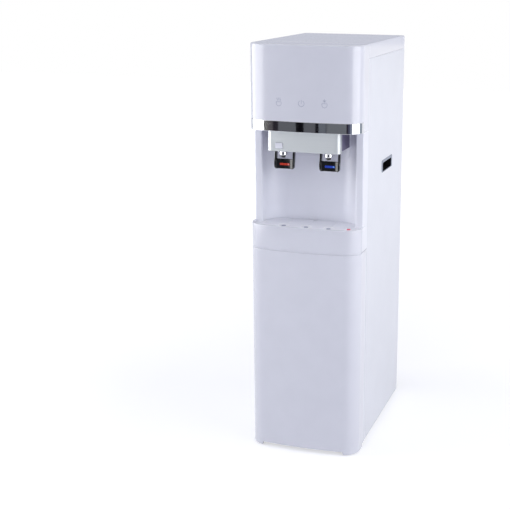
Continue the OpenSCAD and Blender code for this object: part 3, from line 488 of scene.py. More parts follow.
def galvanised_sheet():
    # hot-dip galvanised sheet: crystals about 14 mm across, each a slightly different grey
    material, tree, shader = finish_named("galvanised sheet", "#B9BDC0", 0.45, Metallic=0.85)
    spot = add(tree, "ShaderNodeTexCoord").outputs["Object"]
    spangle = add(tree, "ShaderNodeTexVoronoi", {"Vector": spot, "Scale": 1 / (14 * MM)})
    grey = add(tree, "ShaderNodeSeparateColor", {"Color": spangle.outputs["Color"]}).outputs["Red"]
    blend_colour(tree, shader, grey, "#A9ADB0", "#C6CACC", 0.1, 0.9)
    blend_roughness(tree, shader, grey, 0.35, 0.55)
    return material


# decorative chromium over nickel: near-perfect mirror, slightly warm grey, plating ripple 25 mm
chrome_plate = mottled("chrome plating", "#DADBDD", 0.04, sheen=(12, 0.03, 0.06), relief=(25, 0.02),
                       Metallic=1.0)
silver_lacquer = brushed_silver()
# bright zinc on pressed steel: soft metal sheen with a faint clouding 8 mm across
steel = mottled("bright zinc-plated steel", "#C4C6C8", 0.3, tint=(8, "#B6B8BA", "#CBCDCF"),
                sheen=(3, 0.29, 0.42), Metallic=1.0)
galvanised = galvanised_sheet()
print("metal finishes:", chrome_plate.name, "|", silver_lacquer.name, "|", steel.name, "|",
      galvanised.name)

# %% [markdown]
# ## Dark plastics, rubber and colours
# The levers are gloss black ABS. The handle pockets and the taps' housing are dark, with a textured
# skin that hides scratches; the pockets are drawn near-black so that they also carry the painted shade
# of their deep recess, and the housing is tinted slate-lavender as painted shade of the niche's upper
# corner. The handle frames are drawn blue-grey as a painted sheen, the cups' rims brighter as a painted
# highlight, and the strainers blue-grey as painted shade in the drains. Feet and grommet are moulded
# rubber, dull with a bloom. The stripes, the float and the switches are small coloured mouldings: red
# for hot, blue for cold, green for the second switch. Each kind is one function, because only colour
# and gloss differ within a kind.


# %% Dark and coloured finishes
def textured_plastic(name, low, high, roughness, grain=0.9, **sockets):
    # spark-eroded texture about 0.9 mm across, as on handles and housings
    material, tree, shader = finish_named(name, low, roughness, IOR=1.5, **sockets)
    texture = field(tree, grain)
    blend_colour(tree, shader, texture, low, high)
    blend_roughness(tree, shader, texture, roughness - 0.05, roughness + 0.08)
    emboss(tree, shader, texture, 0.02)
    return material


def coloured_moulding(name, low, high, roughness=0.22, **sockets):
    # a small coloured moulding: even colour with the slight cloud of the pigment
    return mottled(name, low, roughness, tint=(4, low, high), sheen=(2, roughness - 0.04, roughness + 0.04),
                   IOR=1.5, **sockets)


# polished black ABS: almost no colour of its own, so it shows only its reflections
black_gloss = mottled("gloss black ABS", "#0B0B0E", 0.18, sheen=(5, 0.14, 0.22), relief=(10, 0.006),
                      IOR=1.54)
dark_plastic = textured_plastic("dark grey textured ABS", "#26272B", "#2E2F34", 0.5)
# painted shade: the housing is dark plastic, tinted slate-lavender to stand in for the shade in the niche's
# upper corner
housing_shade_slate = textured_plastic("slate-grey textured ABS", "#6A6480", "#726C88", 0.4)
# painted shade: the pockets' dark plastic is drawn near-black, with a dulled reflection, to carry the shade
# of their deep recess
pocket_shade_black = textured_plastic("black textured ABS", "#050507", "#08080A", 0.6, Specular_IOR_Level=0.2)
plate_white = textured_plastic("pale grey satin ABS", "#EFF0F7", "#F2F3F9", 0.36)
# painted highlight: the raised cup rims are drawn a brighter white than the plate
rim_highlight_white = textured_plastic("bright white satin ABS", "#F8F8FC", "#FBFBFE", 0.38)
# painted shade: the strainers' blue-grey darkens each drain hole where shade falls
drain_shade_grey = textured_plastic("blue-grey strainer ABS", "#8A91A9", "#949BB1", 0.45)
# painted sheen: the frames are dark plastic drawn blue-grey to stand in for the sheen along their top
grip_sheen_grey = textured_plastic("blue-grey satin ABS", "#7C8595", "#878F9F", 0.38)
rubber = textured_plastic("black moulded rubber", "#141416", "#1E1E20", 0.7, 1.6)
hot_red = coloured_moulding("red polycarbonate", "#C8311F", "#D8402C")
cold_blue = coloured_moulding("blue polycarbonate", "#2440B0", "#2F50C8")
float_pink = coloured_moulding("pink-red polypropylene", "#E2506C", "#EA5E78")
mark_green = coloured_moulding("green polycarbonate", "#1E8C46", "#2BA055")
hot_lens = coloured_moulding("pale red lens", "#E89088", "#F0A89E", 0.15)
cold_lens = coloured_moulding("pale blue lens", "#6FA8E8", "#8CBEF2", 0.15)
icon_grey = coloured_moulding("pale grey screen ink", "#A9ADBE", "#B0B4C4", 0.4)
nylon = coloured_moulding("natural nylon", "#E6E0CE", "#ECE7D8", 0.4, Subsurface_Weight=0.1)
probe_white = coloured_moulding("pale grey polypropylene", "#D6D8DA", "#E0E2E4", 0.35)
collar_blue = coloured_moulding("blue polyethylene", "#185FA0", "#2474B8", 0.33)
shelf_blue = coloured_moulding("pale blue polypropylene", "#9DBFDC", "#A9C9E3", 0.35)
strap_grey = coloured_moulding("blue-grey painted steel", "#4F6C88", "#587593", 0.4)
board_green = coloured_moulding("green circuit board", "#1B6A44", "#237A50", 0.35)
print("dark finishes:", black_gloss.name, "|", dark_plastic.name, "|", rubber.name)

# %% [markdown]
# ## Bottle, hose and soft parts
# The bottle is blown polycarbonate tinted blue. It is a thin shell with two real surfaces, so a
# transmitting shader bends the light as the real one does. The hose is milky silicone, which lets
# some light in under its skin. The pad at the bay's threshold is speckled foam, and the cold tank is
# jacketed in the same kind of foam.


# %% Clear and soft finishes
def blue_bottle():
    # tinted polycarbonate, IOR 1.58: clear with a slight haze and blow-moulding streaks 30 mm apart
    material, tree, shader = finish_named("blue tinted polycarbonate", "#A9D6F2", 0.06, IOR=1.58,
                                          Transmission_Weight=0.92)
    streaks = field(tree, 30, (1, 1, 0.3))
    blend_colour(tree, shader, streaks, "#9CCDEE", "#B9DFF6")
    emboss(tree, shader, streaks, 0.15)
    return material


def speckled_foam(name, low, high):
    # bead foam: cells about 3 mm across with dark seams between them
    material, tree, shader = finish_named(name, high, 0.8)
    spot = add(tree, "ShaderNodeTexCoord").outputs["Object"]
    cells = add(tree, "ShaderNodeTexVoronoi", {"Vector": spot, "Scale": 1 / (3 * MM)},
                feature="DISTANCE_TO_EDGE").outputs["Distance"]
    blend_colour(tree, shader, cells, low, high, 0.0, 0.12)
    emboss(tree, shader, cells, 0.4)
    return material


bottle_blue = blue_bottle()
# milky silicone rubber: soft sheen and light scattered a millimetre or two under the skin
hose_white = mottled("milky silicone", "#ECEBE6", 0.35, tint=(12, "#E8E7E1", "#F0EFEA"),
                     sheen=(3, 0.3, 0.42), IOR=1.41, Subsurface_Weight=0.25, Subsurface_Scale=0.002)
pad_foam = speckled_foam("speckled white foam", "#B9BBBE", "#EDEEEF")
tank_foam = speckled_foam("grey insulation foam", "#5E6266", "#8A8F94")
# baked black enamel on steel tube: dull gloss, slightly uneven where it was dipped
enamel = mottled("black baked enamel", "#101113", 0.4, tint=(15, "#0D0E10", "#191A1D"),
                 sheen=(4, 0.32, 0.5), relief=(3, 0.02), IOR=1.5)
print("soft finishes:", bottle_blue.name, "|", hose_white.name, "|", pad_foam.name)

# %% [markdown]
# ## The suction hose
# A soft silicone hose leaves the barb on the probe, swings forward in front of the bottle, and climbs
# on the left to a grommet in the deck. It is a fixed length that hangs between two ends. The route is
# a list of points; a Catmull-Rom curve through them gives the smooth line that a soft hose takes, and
# the curve object's own bevel gives the tube.

# %% Hose
hose_route = [
    (40, 0, 538), (52, -1, 539), (65, -6, 537), (78, -16, 530), (89, -32, 517), (97, -52, 499),
    (101, -74, 476), (101, -96, 450), (96, -116, 424), (84, -131, 401), (66, -140, 383), (43, -143, 371),
    (17, -143, 366), (-10, -143, 367), (-36, -143, 375), (-60, -143, 390), (-80, -142, 410),
    (-97, -139, 434), (-109, -134, 461), (-117, -128, 489), (-121, -123, 517), (-122, -120, 545),
    (-122, -120, 564), (-122, -120, 583)]
hose_d = 8


def smooth_line(points, steps=4):
    """More points on the Catmull-Rom curve through the given ones."""
    known = [Vector(p) for p in points]
    known = [2 * known[0] - known[1]] + known + [2 * known[-1] - known[-2]]
    line = []
    for a, b, c, d in zip(known, known[1:], known[2:], known[3:]):
        for k in range(steps):
            t = k / steps
            line.append(0.5 * (2 * b + (c - a) * t + (2 * a - 5 * b + 4 * c - d) * t ** 2
                               + (3 * b - a - 3 * c + d) * t ** 3))
    return line + [known[-2]]


hose_line = smooth_line(hose_route)
hose_curve = bpy.data.curves.new("suction_hose_tube", "CURVE")
hose_curve.dimensions = "3D"
hose_curve.bevel_depth = hose_d / 2 * MM
hose_curve.bevel_resolution = 6
hose_curve.use_fill_caps = True
spline = hose_curve.splines.new("POLY")
spline.points.add(len(hose_line) - 1)
for point, spot in zip(spline.points, hose_line):
    point.co = (*(spot * MM), 1)
spline.use_smooth = True
hose = in_scene("suction_hose_tube", hose_curve)
hose_curve.materials.append(hose_white)
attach(hose, "cabinet")
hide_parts("suction_hose")

# %% [markdown]
# ## The head and the top cover
# The head is one deep moulding that also carries two short skirts down beside the chrome band. The
# top cover behind it is a second moulding, and the thin joint between them is a real gap. Both are
# lofts with a 4 mm rounded edge, hollowed by a second loft. The head's skin is drawn a hair inside
# the CAD's, so that the printed marks can lie on it.

# %% Head and top cover
ink = 0.12


def head_skin(inset):
    return front_outline(inset + ink, seam_y)


head = loft("head_moulding", rise(head_skin, levels(band_z, top_z, 0, edge_r)))
hollow = prism("hollow", front_outline(wall, seam_y + 1), band_z - 1, top_z - wall - 2)
below = slab("below", -FAR, band_y, band_z - 1, head_z)
carve(head, "DIFFERENCE", hollow, below)
place(soften(head, 0.5), "cabinet", "gloss_white", gloss_white, "head_shell")


def cover_outline(inset, r=3):
    x, back = half_w - inset, rear_y - inset
    corner = arc(x - r, back - r, r, 0, 90, 6)
    return [(x, panel_y)] + corner + mirrored(corner) + [(-x, panel_y)]


cover = loft("top_cover_moulding", rise(cover_outline, levels(cover_z + seam_gap, top_z, 0, edge_r)))
carve(cover, "DIFFERENCE", block("hollow", (wall - half_w, panel_y - 1, cover_z - 1),
                                 (half_w - wall, rear_y - wall, top_z - wall - 2)))
place(soften(cover, 0.4), "cabinet", "gloss_white", gloss_white, "top_cover")

# %% [markdown]
# ## The side panels
# Each side is one folded steel sheet with narrow flanges at the front, the rear and the top. Folded
# steel never has a sharp edge: its outer bend radius is about the sheet's thickness and a little
# more. So the plan is drawn as a bent ribbon and pulled up, and the opening for the handle is cut.

# %% Side panels
flange_x = 141
bend = 2.2
hand_y = 56.5
hand_z = 776.5
hand_w, hand_h = 119, 35
pocket_w, pocket_h, pocket_d = 101, 25, 30
pocket_z = hand_z - 3


def pocket_outline(grow, r=4):
    return rounded_rect(hand_y - pocket_w / 2 - grow, hand_y + pocket_w / 2 + grow,
                        pocket_z - pocket_h / 2 - grow, pocket_z + pocket_h / 2 + grow, r)


def flipped(outline, side):
    """The same outline for the other side of the cabinet."""
    return [(side * x, y) for x, y in outline]


def across(side, near, far):
    """Two distances from the middle, as an interval along x on one side."""
    return sorted((side * near, side * far))


def bent_sheet():
    x, front, back = half_w - bend, panel_y + bend, rear_y - bend
    inner = bend - sheet_t
    return ([(flange_x, panel_y)] + arc(x, front, bend, -90, 0, 5) + arc(x, back, bend, 0, 90, 5)
            + [(flange_x, rear_y), (flange_x, rear_y - sheet_t)] + arc(x, back, inner, 90, 0, 5)
            + arc(x, front, inner, 0, -90, 5) + [(flange_x, panel_y + sheet_t)])


for side, label in sides:
    panel = prism(f"side_sheet_{label}", flipped(bent_sheet(), side), panel_z, cover_z)
    low, high = across(side, flange_x, half_w - 0.6)
    lid = block("lid", (low, panel_y + 0.6, cover_z - sheet_t), (high, rear_y - 0.6, cover_z - 0.05))
    carve(panel, "UNION", lid)
    hole = prism("hole", pocket_outline(wall), *across(side, half_w - 3, half_w + 3), axis=0)
    carve(panel, "DIFFERENCE", hole)
    place(soften(panel, 0.25), "cabinet", "cabinet_white", cabinet_white, f"side_panel_{label}")

# %% [markdown]
# ## The carrying handles
# A recess in each side panel lets two people lift the cabinet. A black pocket takes the fingers, drawn
# near-black so that it also carries the painted shade of the recess, and a frame drawn blue-grey as a
# painted sheen, deeper along its top where the fingers pull, clips over the sheet's edge. They are two
# finishes, so they are two pieces.

# %% Handles
frame_outline = rounded_rect(hand_y - hand_w / 2, hand_y + hand_w / 2,
                             hand_z - hand_h / 2, hand_z + hand_h / 2, 6)
for side, label in sides:
    rim = prism(f"handle_frame_{label}", frame_outline, *across(side, half_w + 0.02, half_w + 1), axis=0)
    carve(rim, "DIFFERENCE", prism("mouth", pocket_outline(0, 5), *across(side, 100, 200), axis=0))
    place(soften(rim, 0.4, 3), "cabinet", "dark_grey", grip_sheen_grey)
    pocket = prism(f"handle_pocket_{label}", pocket_outline(2, 6),
                   *across(side, half_w - pocket_d, half_w + 0.02), axis=0)
    carve(pocket, "DIFFERENCE",
          prism("space", pocket_outline(0, 5), *across(side, half_w - pocket_d + 2, 200), axis=0))
    place(soften(pocket, 0.3), "cabinet", "dark_grey", pocket_shade_black, f"handle_{label}")

# %% [markdown]
# ## The chrome band
# A plated strip wraps the front between the head and the niche and ends just behind the corners. As a
# mirror it shows every flaw in its mesh, so it is a loft with many columns and a slightly rounded
# upper and lower edge, cut off square behind.

# %% Chrome band
band = loft("chrome_band_strip", rise(lambda inset: front_outline(inset, seam_y),
                                      levels(band_z, head_z, 1.0, 1.0, 4)))
carve(band, "DIFFERENCE", prism("inside", front_outline(3, seam_y + 1), band_z - 1, head_z + 1),
      slab("behind", band_y - seam_gap, FAR, band_z - 1, head_z + 1))
place(soften(band, 0), "cabinet", "chrome_trim", chrome_plate, "chrome_band")

# %% [markdown]
# ## The niche
# The niche is one moulding: a flat back, two wide concave corners, and a post on each side that turns
# forward and round to meet the side panel. Its plan is a single line, offset by the wall's thickness.
# The concave corners are what give the niche its soft upright highlights, so they get many points.

# %% Niche
niche_half = 131
niche_r = 55
post_edge = 4
post_r = 4
post_in = 2.5


def niche_back(offset):
    """Half of the niche's back line, from the middle to its side wall."""
    return arc(niche_half - niche_r, back_y - niche_r, niche_r + offset, 90, 0, 24)


def niche_half_line(offset):
    return (niche_back(offset)
            + arc(niche_half + post_edge, post_y + post_edge, post_edge - offset, 180, 270, 8)
            + arc(half_w - post_in - post_r, post_y + post_r, post_r - offset, 270, 360, 10)
            + [(half_w - offset, seam_y)])


def niche_line(offset):
    return mirrored(niche_half_line(offset)) + niche_half_line(offset)


def niche_plan(offset):
    """The open space of the niche from above, grown by an offset."""
    x, back = niche_half + offset, niche_back(offset)
    return [(-x, 2 * front_y)] + mirrored(back) + back + [(x, 2 * front_y)]


niche = prism("niche_moulding", niche_line(0) + niche_line(wall)[::-1], niche_z, band_z)
ceiling = prism("niche_ceiling", front_outline(wall + 0.8, seam_y), band_z, band_z + wall)
rear_part = prism("rear_part", niche_plan(wall), band_z, band_z + wall)
carve(rear_part, "INTERSECT", slab("rear_only", seam_y - 1, FAR))
carve(ceiling, "UNION", rear_part)
place(soften(niche, 0.3), "cabinet", "satin_white", satin_white, "niche_shell")
place(soften(ceiling, 0.3), "cabinet", "satin_white", satin_white)

# %% [markdown]
# ## The plate behind the taps
# A plate 2 mm proud of the niche's back carries the taps; its lower edge is the fine line that shows
# under the shroud. It follows the niche's curve, so it is a band between two niche lines, and a
# rounded rectangle seen from the front gives it its corners.

# %% Tap plate
plate_low, plate_high = span("tap_back_plate")
plate_half, plate_t, plate_r = plate_high[0], 2, 12
behind, before = niche_back(0), niche_back(-plate_t)
plate = prism("tap_plate", mirrored(behind) + behind + before[::-1] + mirrored(before)[::-1],
              plate_low[2], plate_high[2])
carve(plate, "INTERSECT", prism("front_view", rounded_rect(-plate_half, plate_half, plate_low[2],
                                                           plate_high[2] + 2 * plate_r, plate_r),
                                -FAR, 0, axis=1))
place(soften(plate, 0.6, 3), "cabinet", "satin_white", satin_white, "tap_back_plate")

# %% [markdown]
# ## The shroud over the taps
# A silver moulding hides the tap bodies. It is open behind and has rounded upright corners, where its
# lacquer shows a white streak from each side of the studio. The hole, with a step round it, is for the
# child-lock button over the hot tap.

# %% Shroud
shroud_half, shroud_y = shroud_high[0], shroud_low[1]
shroud_r = 12
button_low, button_high = span("lock_button")
flange = 1


def shroud_outline(inset, back):
    return ([(shroud_half - inset, back)]
            + arc(shroud_half - shroud_r, shroud_y + shroud_r, shroud_r - inset, 0, -90, 12)
            + arc(shroud_r - shroud_half, shroud_y + shroud_r, shroud_r - inset, -90, -180, 12)
            + [(inset - shroud_half, back)])


def button_outline(grow):
    """The lock button from the front; its hidden flange is what the CAD node's box measures."""
    grow -= flange
    return rounded_rect(button_low[0] - grow, button_high[0] + grow,
                        button_low[2] - grow, button_high[2] + grow, 2 + max(grow + flange, -1))


shroud_back = shroud_high[1]
shroud = loft("tap_shroud_cover", rise(lambda inset: shroud_outline(inset, shroud_back),
                                       levels(shroud_low[2], shroud_high[2], 1.5, 0, 4)))
carve(shroud, "DIFFERENCE",
      prism("inside", shroud_outline(2, shroud_back + 1), shroud_low[2] + 0.01, shroud_high[2] + 1),
      prism("button_hole", button_outline(0.3), shroud_y - 1, shroud_y + 3, axis=1),
      prism("button_step", button_outline(1.5), shroud_y - 1, shroud_y + 0.9, axis=1))
place(soften(shroud, 0.3), "cabinet", "silver_shroud", silver_lacquer, "tap_shroud")

# %% Lock button
button = prism("child_lock_button", button_outline(0), shroud_y - 2, shroud_y + 6, axis=1)
carve(button, "UNION", prism("flange", button_outline(flange), shroud_y + 2.3, shroud_y + 4.3, axis=1))
carve(button, "DIFFERENCE", prism("dish", button_outline(-2.5), shroud_y - 2.2, shroud_y - 1.93, axis=1))
place(soften(button, 0.6, 3), "lock_button", "satin_white", satin_white, "lock_button")

# %% [markdown]
# ## Nozzles
# Under the shroud each tap shows a short chrome nozzle with a black outlet. They are turned parts, so
# a lathe profile suits them: a barrel with a fine groove round it, and a rounded lip.

# %% Nozzles and outlets
outlet_z = span("hot_nozzle")[0][2]
barrel = [(0, 0), (7.2, 0), (8.9, 0.3), (9.7, 1.1), (10, 2.4), (10, 8.6), (9.5, 9.2), (9.5, 9.8),
          (10.1, 10.3), (nozzle_r, 11.4), (nozzle_r, 17), (9.5, 17), (9.5, 31), (7.5, 33), (0, 33)]
for x, label in taps:
    nozzle = lathe(f"{label}_nozzle_turned", barrel, x, nozzle_y, outlet_z, 48)
    place(soften(nozzle, 0, angle=40), "cabinet", "chrome_trim", chrome_plate, f"{label}_nozzle")
sleeve = [(4.7, -6), (5.5, -6), (6, -5.4), (6, -2.6), (6.3, -1.2), (6.9, -0.2), (4.7, -0.2)]
tips = [lathe("outlet_tip", sleeve, x, nozzle_y, outlet_z, 32) for x, _ in taps]
carve(tips[0], "UNION", tips[1])
tips[0].name = "outlet_tip_pair"
place(soften(tips[0], 0), "cabinet", "black_gloss", black_gloss, "outlet_tips")

# %% [markdown]
# ## The levers
# A cup is pushed against a gloss-black paddle that hangs from two cheeks, so that the nozzle shows
# through the window between them. The paddle is a shallow trough whose side walls slope, so that one of
# them catches the studio's side light as a grey streak. Each cheek is a convex shape, so a convex hull
# round three circles makes it.

# %% Lever sizes and shapes
lever_low, lever_high = span("cold_lever")
lever_half = (lever_high[0] - lever_low[0]) / 2
lever_z = lever_low[2]
pivot_z = lever_high[2] - 6
pivot_y = nozzle_y + 19
lever_front = lever_low[1]
cheek = 4.5
scoop_y = lever_front + 7
scoop_top = lever_z + 27


def hull_of(name, circles, x0, x1):
    """The convex solid round circles of (y, z, r), between two planes of x."""
    mesh = raw_mesh(name, [(x, y + r * cos(a), z + r * sin(a)) for x in (x0, x1) for y, z, r in circles
                           for a in (2 * pi * k / 32 for k in range(32))])
    with edited(mesh) as shape:
        found = bmesh.ops.convex_hull(shape, input=shape.verts)
        spare = {part for part in found["geom_interior"] + found["geom_unused"]
                 if isinstance(part, bmesh.types.BMVert)}
        bmesh.ops.delete(shape, geom=list(spare), context="VERTS")
        bmesh.ops.dissolve_limit(shape, angle_limit=radians(1), verts=shape.verts, edges=shape.edges)
    return in_scene(name, mesh)


def trough(half, run=9, depth=4.9):
    """The open front of the paddle from above: a flat between two sloping walls."""
    wall_right = [(half - run, scoop_y), (half, scoop_y - depth), (half + 0.4, scoop_y - depth - 0.7),
                  (half + 0.5, lever_front - 20)]
    return mirrored(wall_right) + wall_right


print(f"levers {2 * lever_half:.0f} mm wide, pivots at z = {pivot_z} mm")

# %% Levers and stripes
circles = [(pivot_y, pivot_z, 6), (lever_front + 5, lever_z + 5, 5), (lever_front + 8, lever_z + 2, 2)]
stripes = ((hot_red, hot_lens, "red_mark"), (cold_blue, cold_lens, "blue_mark"))
for (x, label), (mark, dot_finish, slot) in zip(taps, stripes):
    left, right = x - lever_half, x + lever_half
    lever = hull_of(f"{label}_tap_lever", circles, left, left + cheek)
    paddle = block("paddle", (left + 0.3, lever_front + 0.9, lever_z + 0.05),
                   (right - 0.3, scoop_y + 2, scoop_top))
    hollow = prism("hollow", [(x + px, py) for px, py in trough(lever_half - cheek + 0.6)],
                   lever_z - 1, scoop_top + 1)
    carve(paddle, "DIFFERENCE", hollow)
    hub = hull_of("hub", [(pivot_y, pivot_z, 5)], left + 1, right - 1)
    carve(lever, "UNION", hull_of("cheek", circles, right - cheek, right), paddle, hub)
    front_view = prism("front_view", rounded_rect(left - 0.02, right + 0.02, lever_z - 0.02,
                                                  pivot_z + 40, 7), -FAR, 0, axis=1)
    carve(lever, "INTERSECT", front_view)
    carve(lever, "DIFFERENCE", hull_of("pin_hole", [(pivot_y, pivot_z, 2.05)], x - 40, x + 40))
    place(soften(lever, 0.8, 3), f"{label}_lever", "black_gloss", black_gloss, f"{label}_lever")

    low, high = span(f"{label}_stripe")
    stripe = prism(f"{label}_stripe_label", rounded_rect(low[0], high[0], low[2], high[2], 1.5),
                   low[1], high[1], axis=1)
    place(soften(stripe, 0.25), f"{label}_lever", slot, mark, f"{label}_stripe")
    lens_x, lens_z = high[0] - 3.4, (low[2] + high[2]) / 2
    dot = prism(f"{label}_stripe_dot", arc(lens_x, lens_z, 2.2, 0, 345, 23),
                low[1] - 0.15, low[1] + 0.2, axis=1)
    place(soften(dot, 0.1), f"{label}_lever", slot, dot_finish)

# %% [markdown]
# ## Apron and drip tray
# The apron is the curved moulding in front of the drip tray. A shallow step runs along its lower edge,
# and a lip below the step closes the gap to the door. Behind it a housing holds the loose tray. They
# all follow two lines, the cabinet's front and the niche's plan, so one function makes the tray's
# space at any size, and the mouldings are cut with it.

# %% Apron and its lip
rim_w = 2 * wall + 0.8
tray_low, tray_high = span("drip_tray")
grille_low, grille_high = span("drip_grille")
tray_gap = 0.8


def tray_solid(name, grow, low, high):
    """The tray's plan, grown by a distance, pulled up as a solid."""
    base = prism(name, front_outline(rim_w - grow, 0), low, high)
    space = prism("space", niche_plan(grow - 1.5), low - 1, high + 1)
    front = slab("front", 2 * front_y, post_y - 1.5 + grow, low - 1, high + 1)
    carve(space, "UNION", front)
    return carve(base, "INTERSECT", space)


step_in = 0.8
crease_z = apron_z + 3.4
apron_levels = ([(apron_z, step_in), (crease_z, 0.45), (crease_z + 0.35, 0)]
                + levels(crease_z, niche_z, 0, 2.2)[1:])
apron = loft("apron_moulding", rise(lambda inset: front_outline(inset, seam_y), apron_levels))
inside = prism("inside", front_outline(wall, seam_y + 1), apron_z - 1, niche_z - 2)
carve(apron, "DIFFERENCE", inside, tray_solid("mouth", tray_gap, niche_z - 3, niche_z + 1),
      slab("behind", band_y, FAR, apron_z - 2, niche_z + 1))
place(soften(apron, 0.3), "cabinet", "gloss_white", gloss_white, "apron")
lip = prism("apron_lip", front_outline(step_in, seam_y), door_top + seam_gap, apron_z + 3)
carve(lip, "DIFFERENCE",
      prism("inside", front_outline(wall + 0.5, seam_y + 1), door_top - 1, apron_z + 4),
      slab("behind", band_y, FAR, door_top - 2, apron_z + 5))
place(soften(lip, 0.1), "cabinet", "gloss_white", gloss_white)

# %% Housing and tray
housing = prism("tray_housing_moulding", front_outline(0, seam_y), apron_z, niche_z)
carve(housing, "INTERSECT", slab("sides_only", band_y + 1.6, seam_y))
carve(housing, "UNION", prism("floor", front_outline(wall + 0.2, seam_y), deck_high[2], niche_z - 2))
bowl = prism("bowl", niche_plan(wall), deck_high[2], niche_z)
carve(bowl, "INTERSECT", slab("rear_only", band_y + 0.1, FAR))
carve(housing, "UNION", bowl)
carve(housing, "DIFFERENCE", tray_solid("well", tray_gap, deck_high[2] + wall, niche_z + 20),
      prism("under", front_outline(wall, seam_y + 1), apron_z - 1, deck_high[2]))
place(soften(housing, 0.4), "cabinet", "satin_white", satin_white, "tray_housing")

tray = tray_solid("drip_tray_bowl", 0, tray_low[2], tray_high[2])
carve(tray, "DIFFERENCE", tray_solid("basin", -wall, tray_low[2] + wall, tray_high[2] + 1))
place(soften(tray, 0.3), "drip_tray", "satin_white", satin_white, "drip_tray")

# %% [markdown]
# ## The drip plate
# The plate lies loose in the tray's rim. Three dished cups, each with a rim drawn brighter as a painted
# highlight, take the spills, a fine groove runs back from each, and a red float comes up through its own
# hole when the tray is full. A blue-grey strainer darkens each drain as painted shade. Cups, rims,
# strainers and float are round, so each is a lathe profile, and the cups are cut out.

# %% Drip plate with its cups
plate_top = grille_high[2]
cup_r, drain_r = 13.5, 5.8
cups = {"left": -tap_x, "middle": 0, "right": tap_x}
rim_profile = [(cup_r - 1, -1), (cup_r + 3, -1), (cup_r + 3, -0.05), (cup_r + 2.2, 0.5),
               (cup_r + 0.6, 0.6), (cup_r - 0.6, 0.15)]
dish_profile = [(0, 3), (cup_r, 3), (cup_r, 0.1), (cup_r - 1.6, -0.45), (9.5, -0.9),
                (drain_r + 1.4, -1.1), (drain_r, -9), (0, -9)]
strainer_profile = [(0, -2), (drain_r - 0.05, -2), (drain_r - 0.05, -0.9), (0, -0.8)]

grille = tray_solid("drip_plate", 0, grille_low[2], plate_top)
grooves = [block("groove", (x - 1, nozzle_y + cup_r - 1.5, plate_top - 1.2),
                 (x + 1, back_y - 6, plate_top + 1)) for x in cups.values()]
rims = [lathe(f"cup_rim_{label}", rim_profile, x, nozzle_y, plate_top) for label, x in cups.items()]
dishes = [lathe("dish", dish_profile, x, nozzle_y, plate_top) for x in cups.values()]
float_x, float_y = middle("overflow_float")[:2]
float_hole = peg("float_hole", 5.75, -9, 3, float_x, float_y, plate_top)
notch = peg("notch", 9, -9, 3, 0, back_y, plate_top)
carve(grille, "DIFFERENCE", *grooves)
carve(grille, "DIFFERENCE", *dishes)
carve(grille, "DIFFERENCE", float_hole, notch)
place(soften(grille, 0.25), "drip_grille", "satin_white", plate_white, "drip_grille")
# painted highlight: each rim is drawn in the brighter white
for rim in rims:
    place(soften(rim, 0), "drip_grille", "satin_white", rim_highlight_white)

# %% Strainers and float
# painted shade: a blue-grey strainer sits in each drain to darken it
for label, x in cups.items():
    strainer = lathe(f"cup_strainer_{label}", strainer_profile, x, nozzle_y, plate_top)
    slots = [peg("slot", 0.8, -5, 0, x + 3 * cos(a), nozzle_y + 3 * sin(a), plate_top, 12)
             for a in (radians(60 * k) for k in range(6))]
    place(soften(carve(strainer, "DIFFERENCE", *slots), 0.1), "drip_grille", "satin_white", drain_shade_grey)

float_low, float_high = span("overflow_float")
stem = float_high[2] - float_low[2]
buoy_profile = [(0, 0), (7.7, 0), (8.5, 0.8), (8.5, 8.2), (8.1, 9), (5, 11), (5, stem - 1.4),
                (4.7, stem - 0.7), (4, stem - 0.2), (0, stem)]
buoy = lathe("overflow_float_buoy", buoy_profile, float_x, float_y, float_low[2], 40)
place(soften(buoy, 0), "overflow_float", "red_mark", float_pink, "overflow_float")

# %% [markdown]
# ## The lower door
# The door hides the bottle bay. It is a pan moulding: a thin curved front, folded in all round, with
# level ribs inside, and bosses at its hinge edge. Its lower edge is cut away between two short legs
# at the corners. It is a loft, hollowed from behind, so that the inside is right when it is open.

# %% Door
hinge_x, hinge_y = middle("door_bush_bottom")[:2]
door_rear = span("door_shell")[1][1]
arch_z = span("door_bush_bottom")[0][2]
knuckle_r = 10
leg_half, leg_r = 118, 5
boss_r, boss_h, bore_r = 7.4, 16, 5.02
rib_count = 4
lip_left, lip_right = hinge_x + 9, flange_x


def door_outline(inset):
    return ([(half_w - inset, door_rear - inset)] + front_arcs(inset) + [(inset - half_w, hinge_y)]
            + arc(hinge_x, hinge_y, knuckle_r - inset, 172, 90, 10))


door = loft("lower_door", rise(door_outline, levels(door_z, door_top, 1.2, 2.0, 4)))
pan = prism("pan", door_outline(wall), arch_z + wall, door_top - wall)
rear_mouth = block("rear_mouth", (lip_left, door_rear - 2 * wall, arch_z + wall),
                   (lip_right, 0, door_top - wall))
under = prism("under", door_outline(wall), door_z - 1, arch_z)
arch = prism("arch", [(-leg_half, 0), (leg_half, 0)]
             + arc(leg_half - leg_r, arch_z - leg_r, leg_r, 0, 90, 6)
             + arc(leg_r - leg_half, arch_z - leg_r, leg_r, 90, 180, 6), -FAR, 0, axis=1)
skirt = slab("skirt", hinge_y - knuckle_r, 0, door_z - 1, arch_z)
carve(door, "DIFFERENCE", pan, rear_mouth, under, arch, skirt)
ribs = []
for k in range(1, rib_count + 1):
    z = arch_z + (door_top - arch_z) * k / (rib_count + 1)
    inner = prism("inner", front_outline(wall + 4, corner_y + 1), z - 1, z + 3)
    ribs.append(carve(prism("rib", front_outline(wall - 0.5, corner_y), z, z + 2), "DIFFERENCE", inner))
low_boss, high_boss = arch_z + wall + boss_h, door_top - wall - boss_h
bosses = [peg("boss", boss_r, low, high, hinge_x, hinge_y, sides=40)
          for low, high in ((arch_z + 0.1, low_boss), (high_boss, door_top - 0.1))]
carve(door, "UNION", *ribs, *bosses)
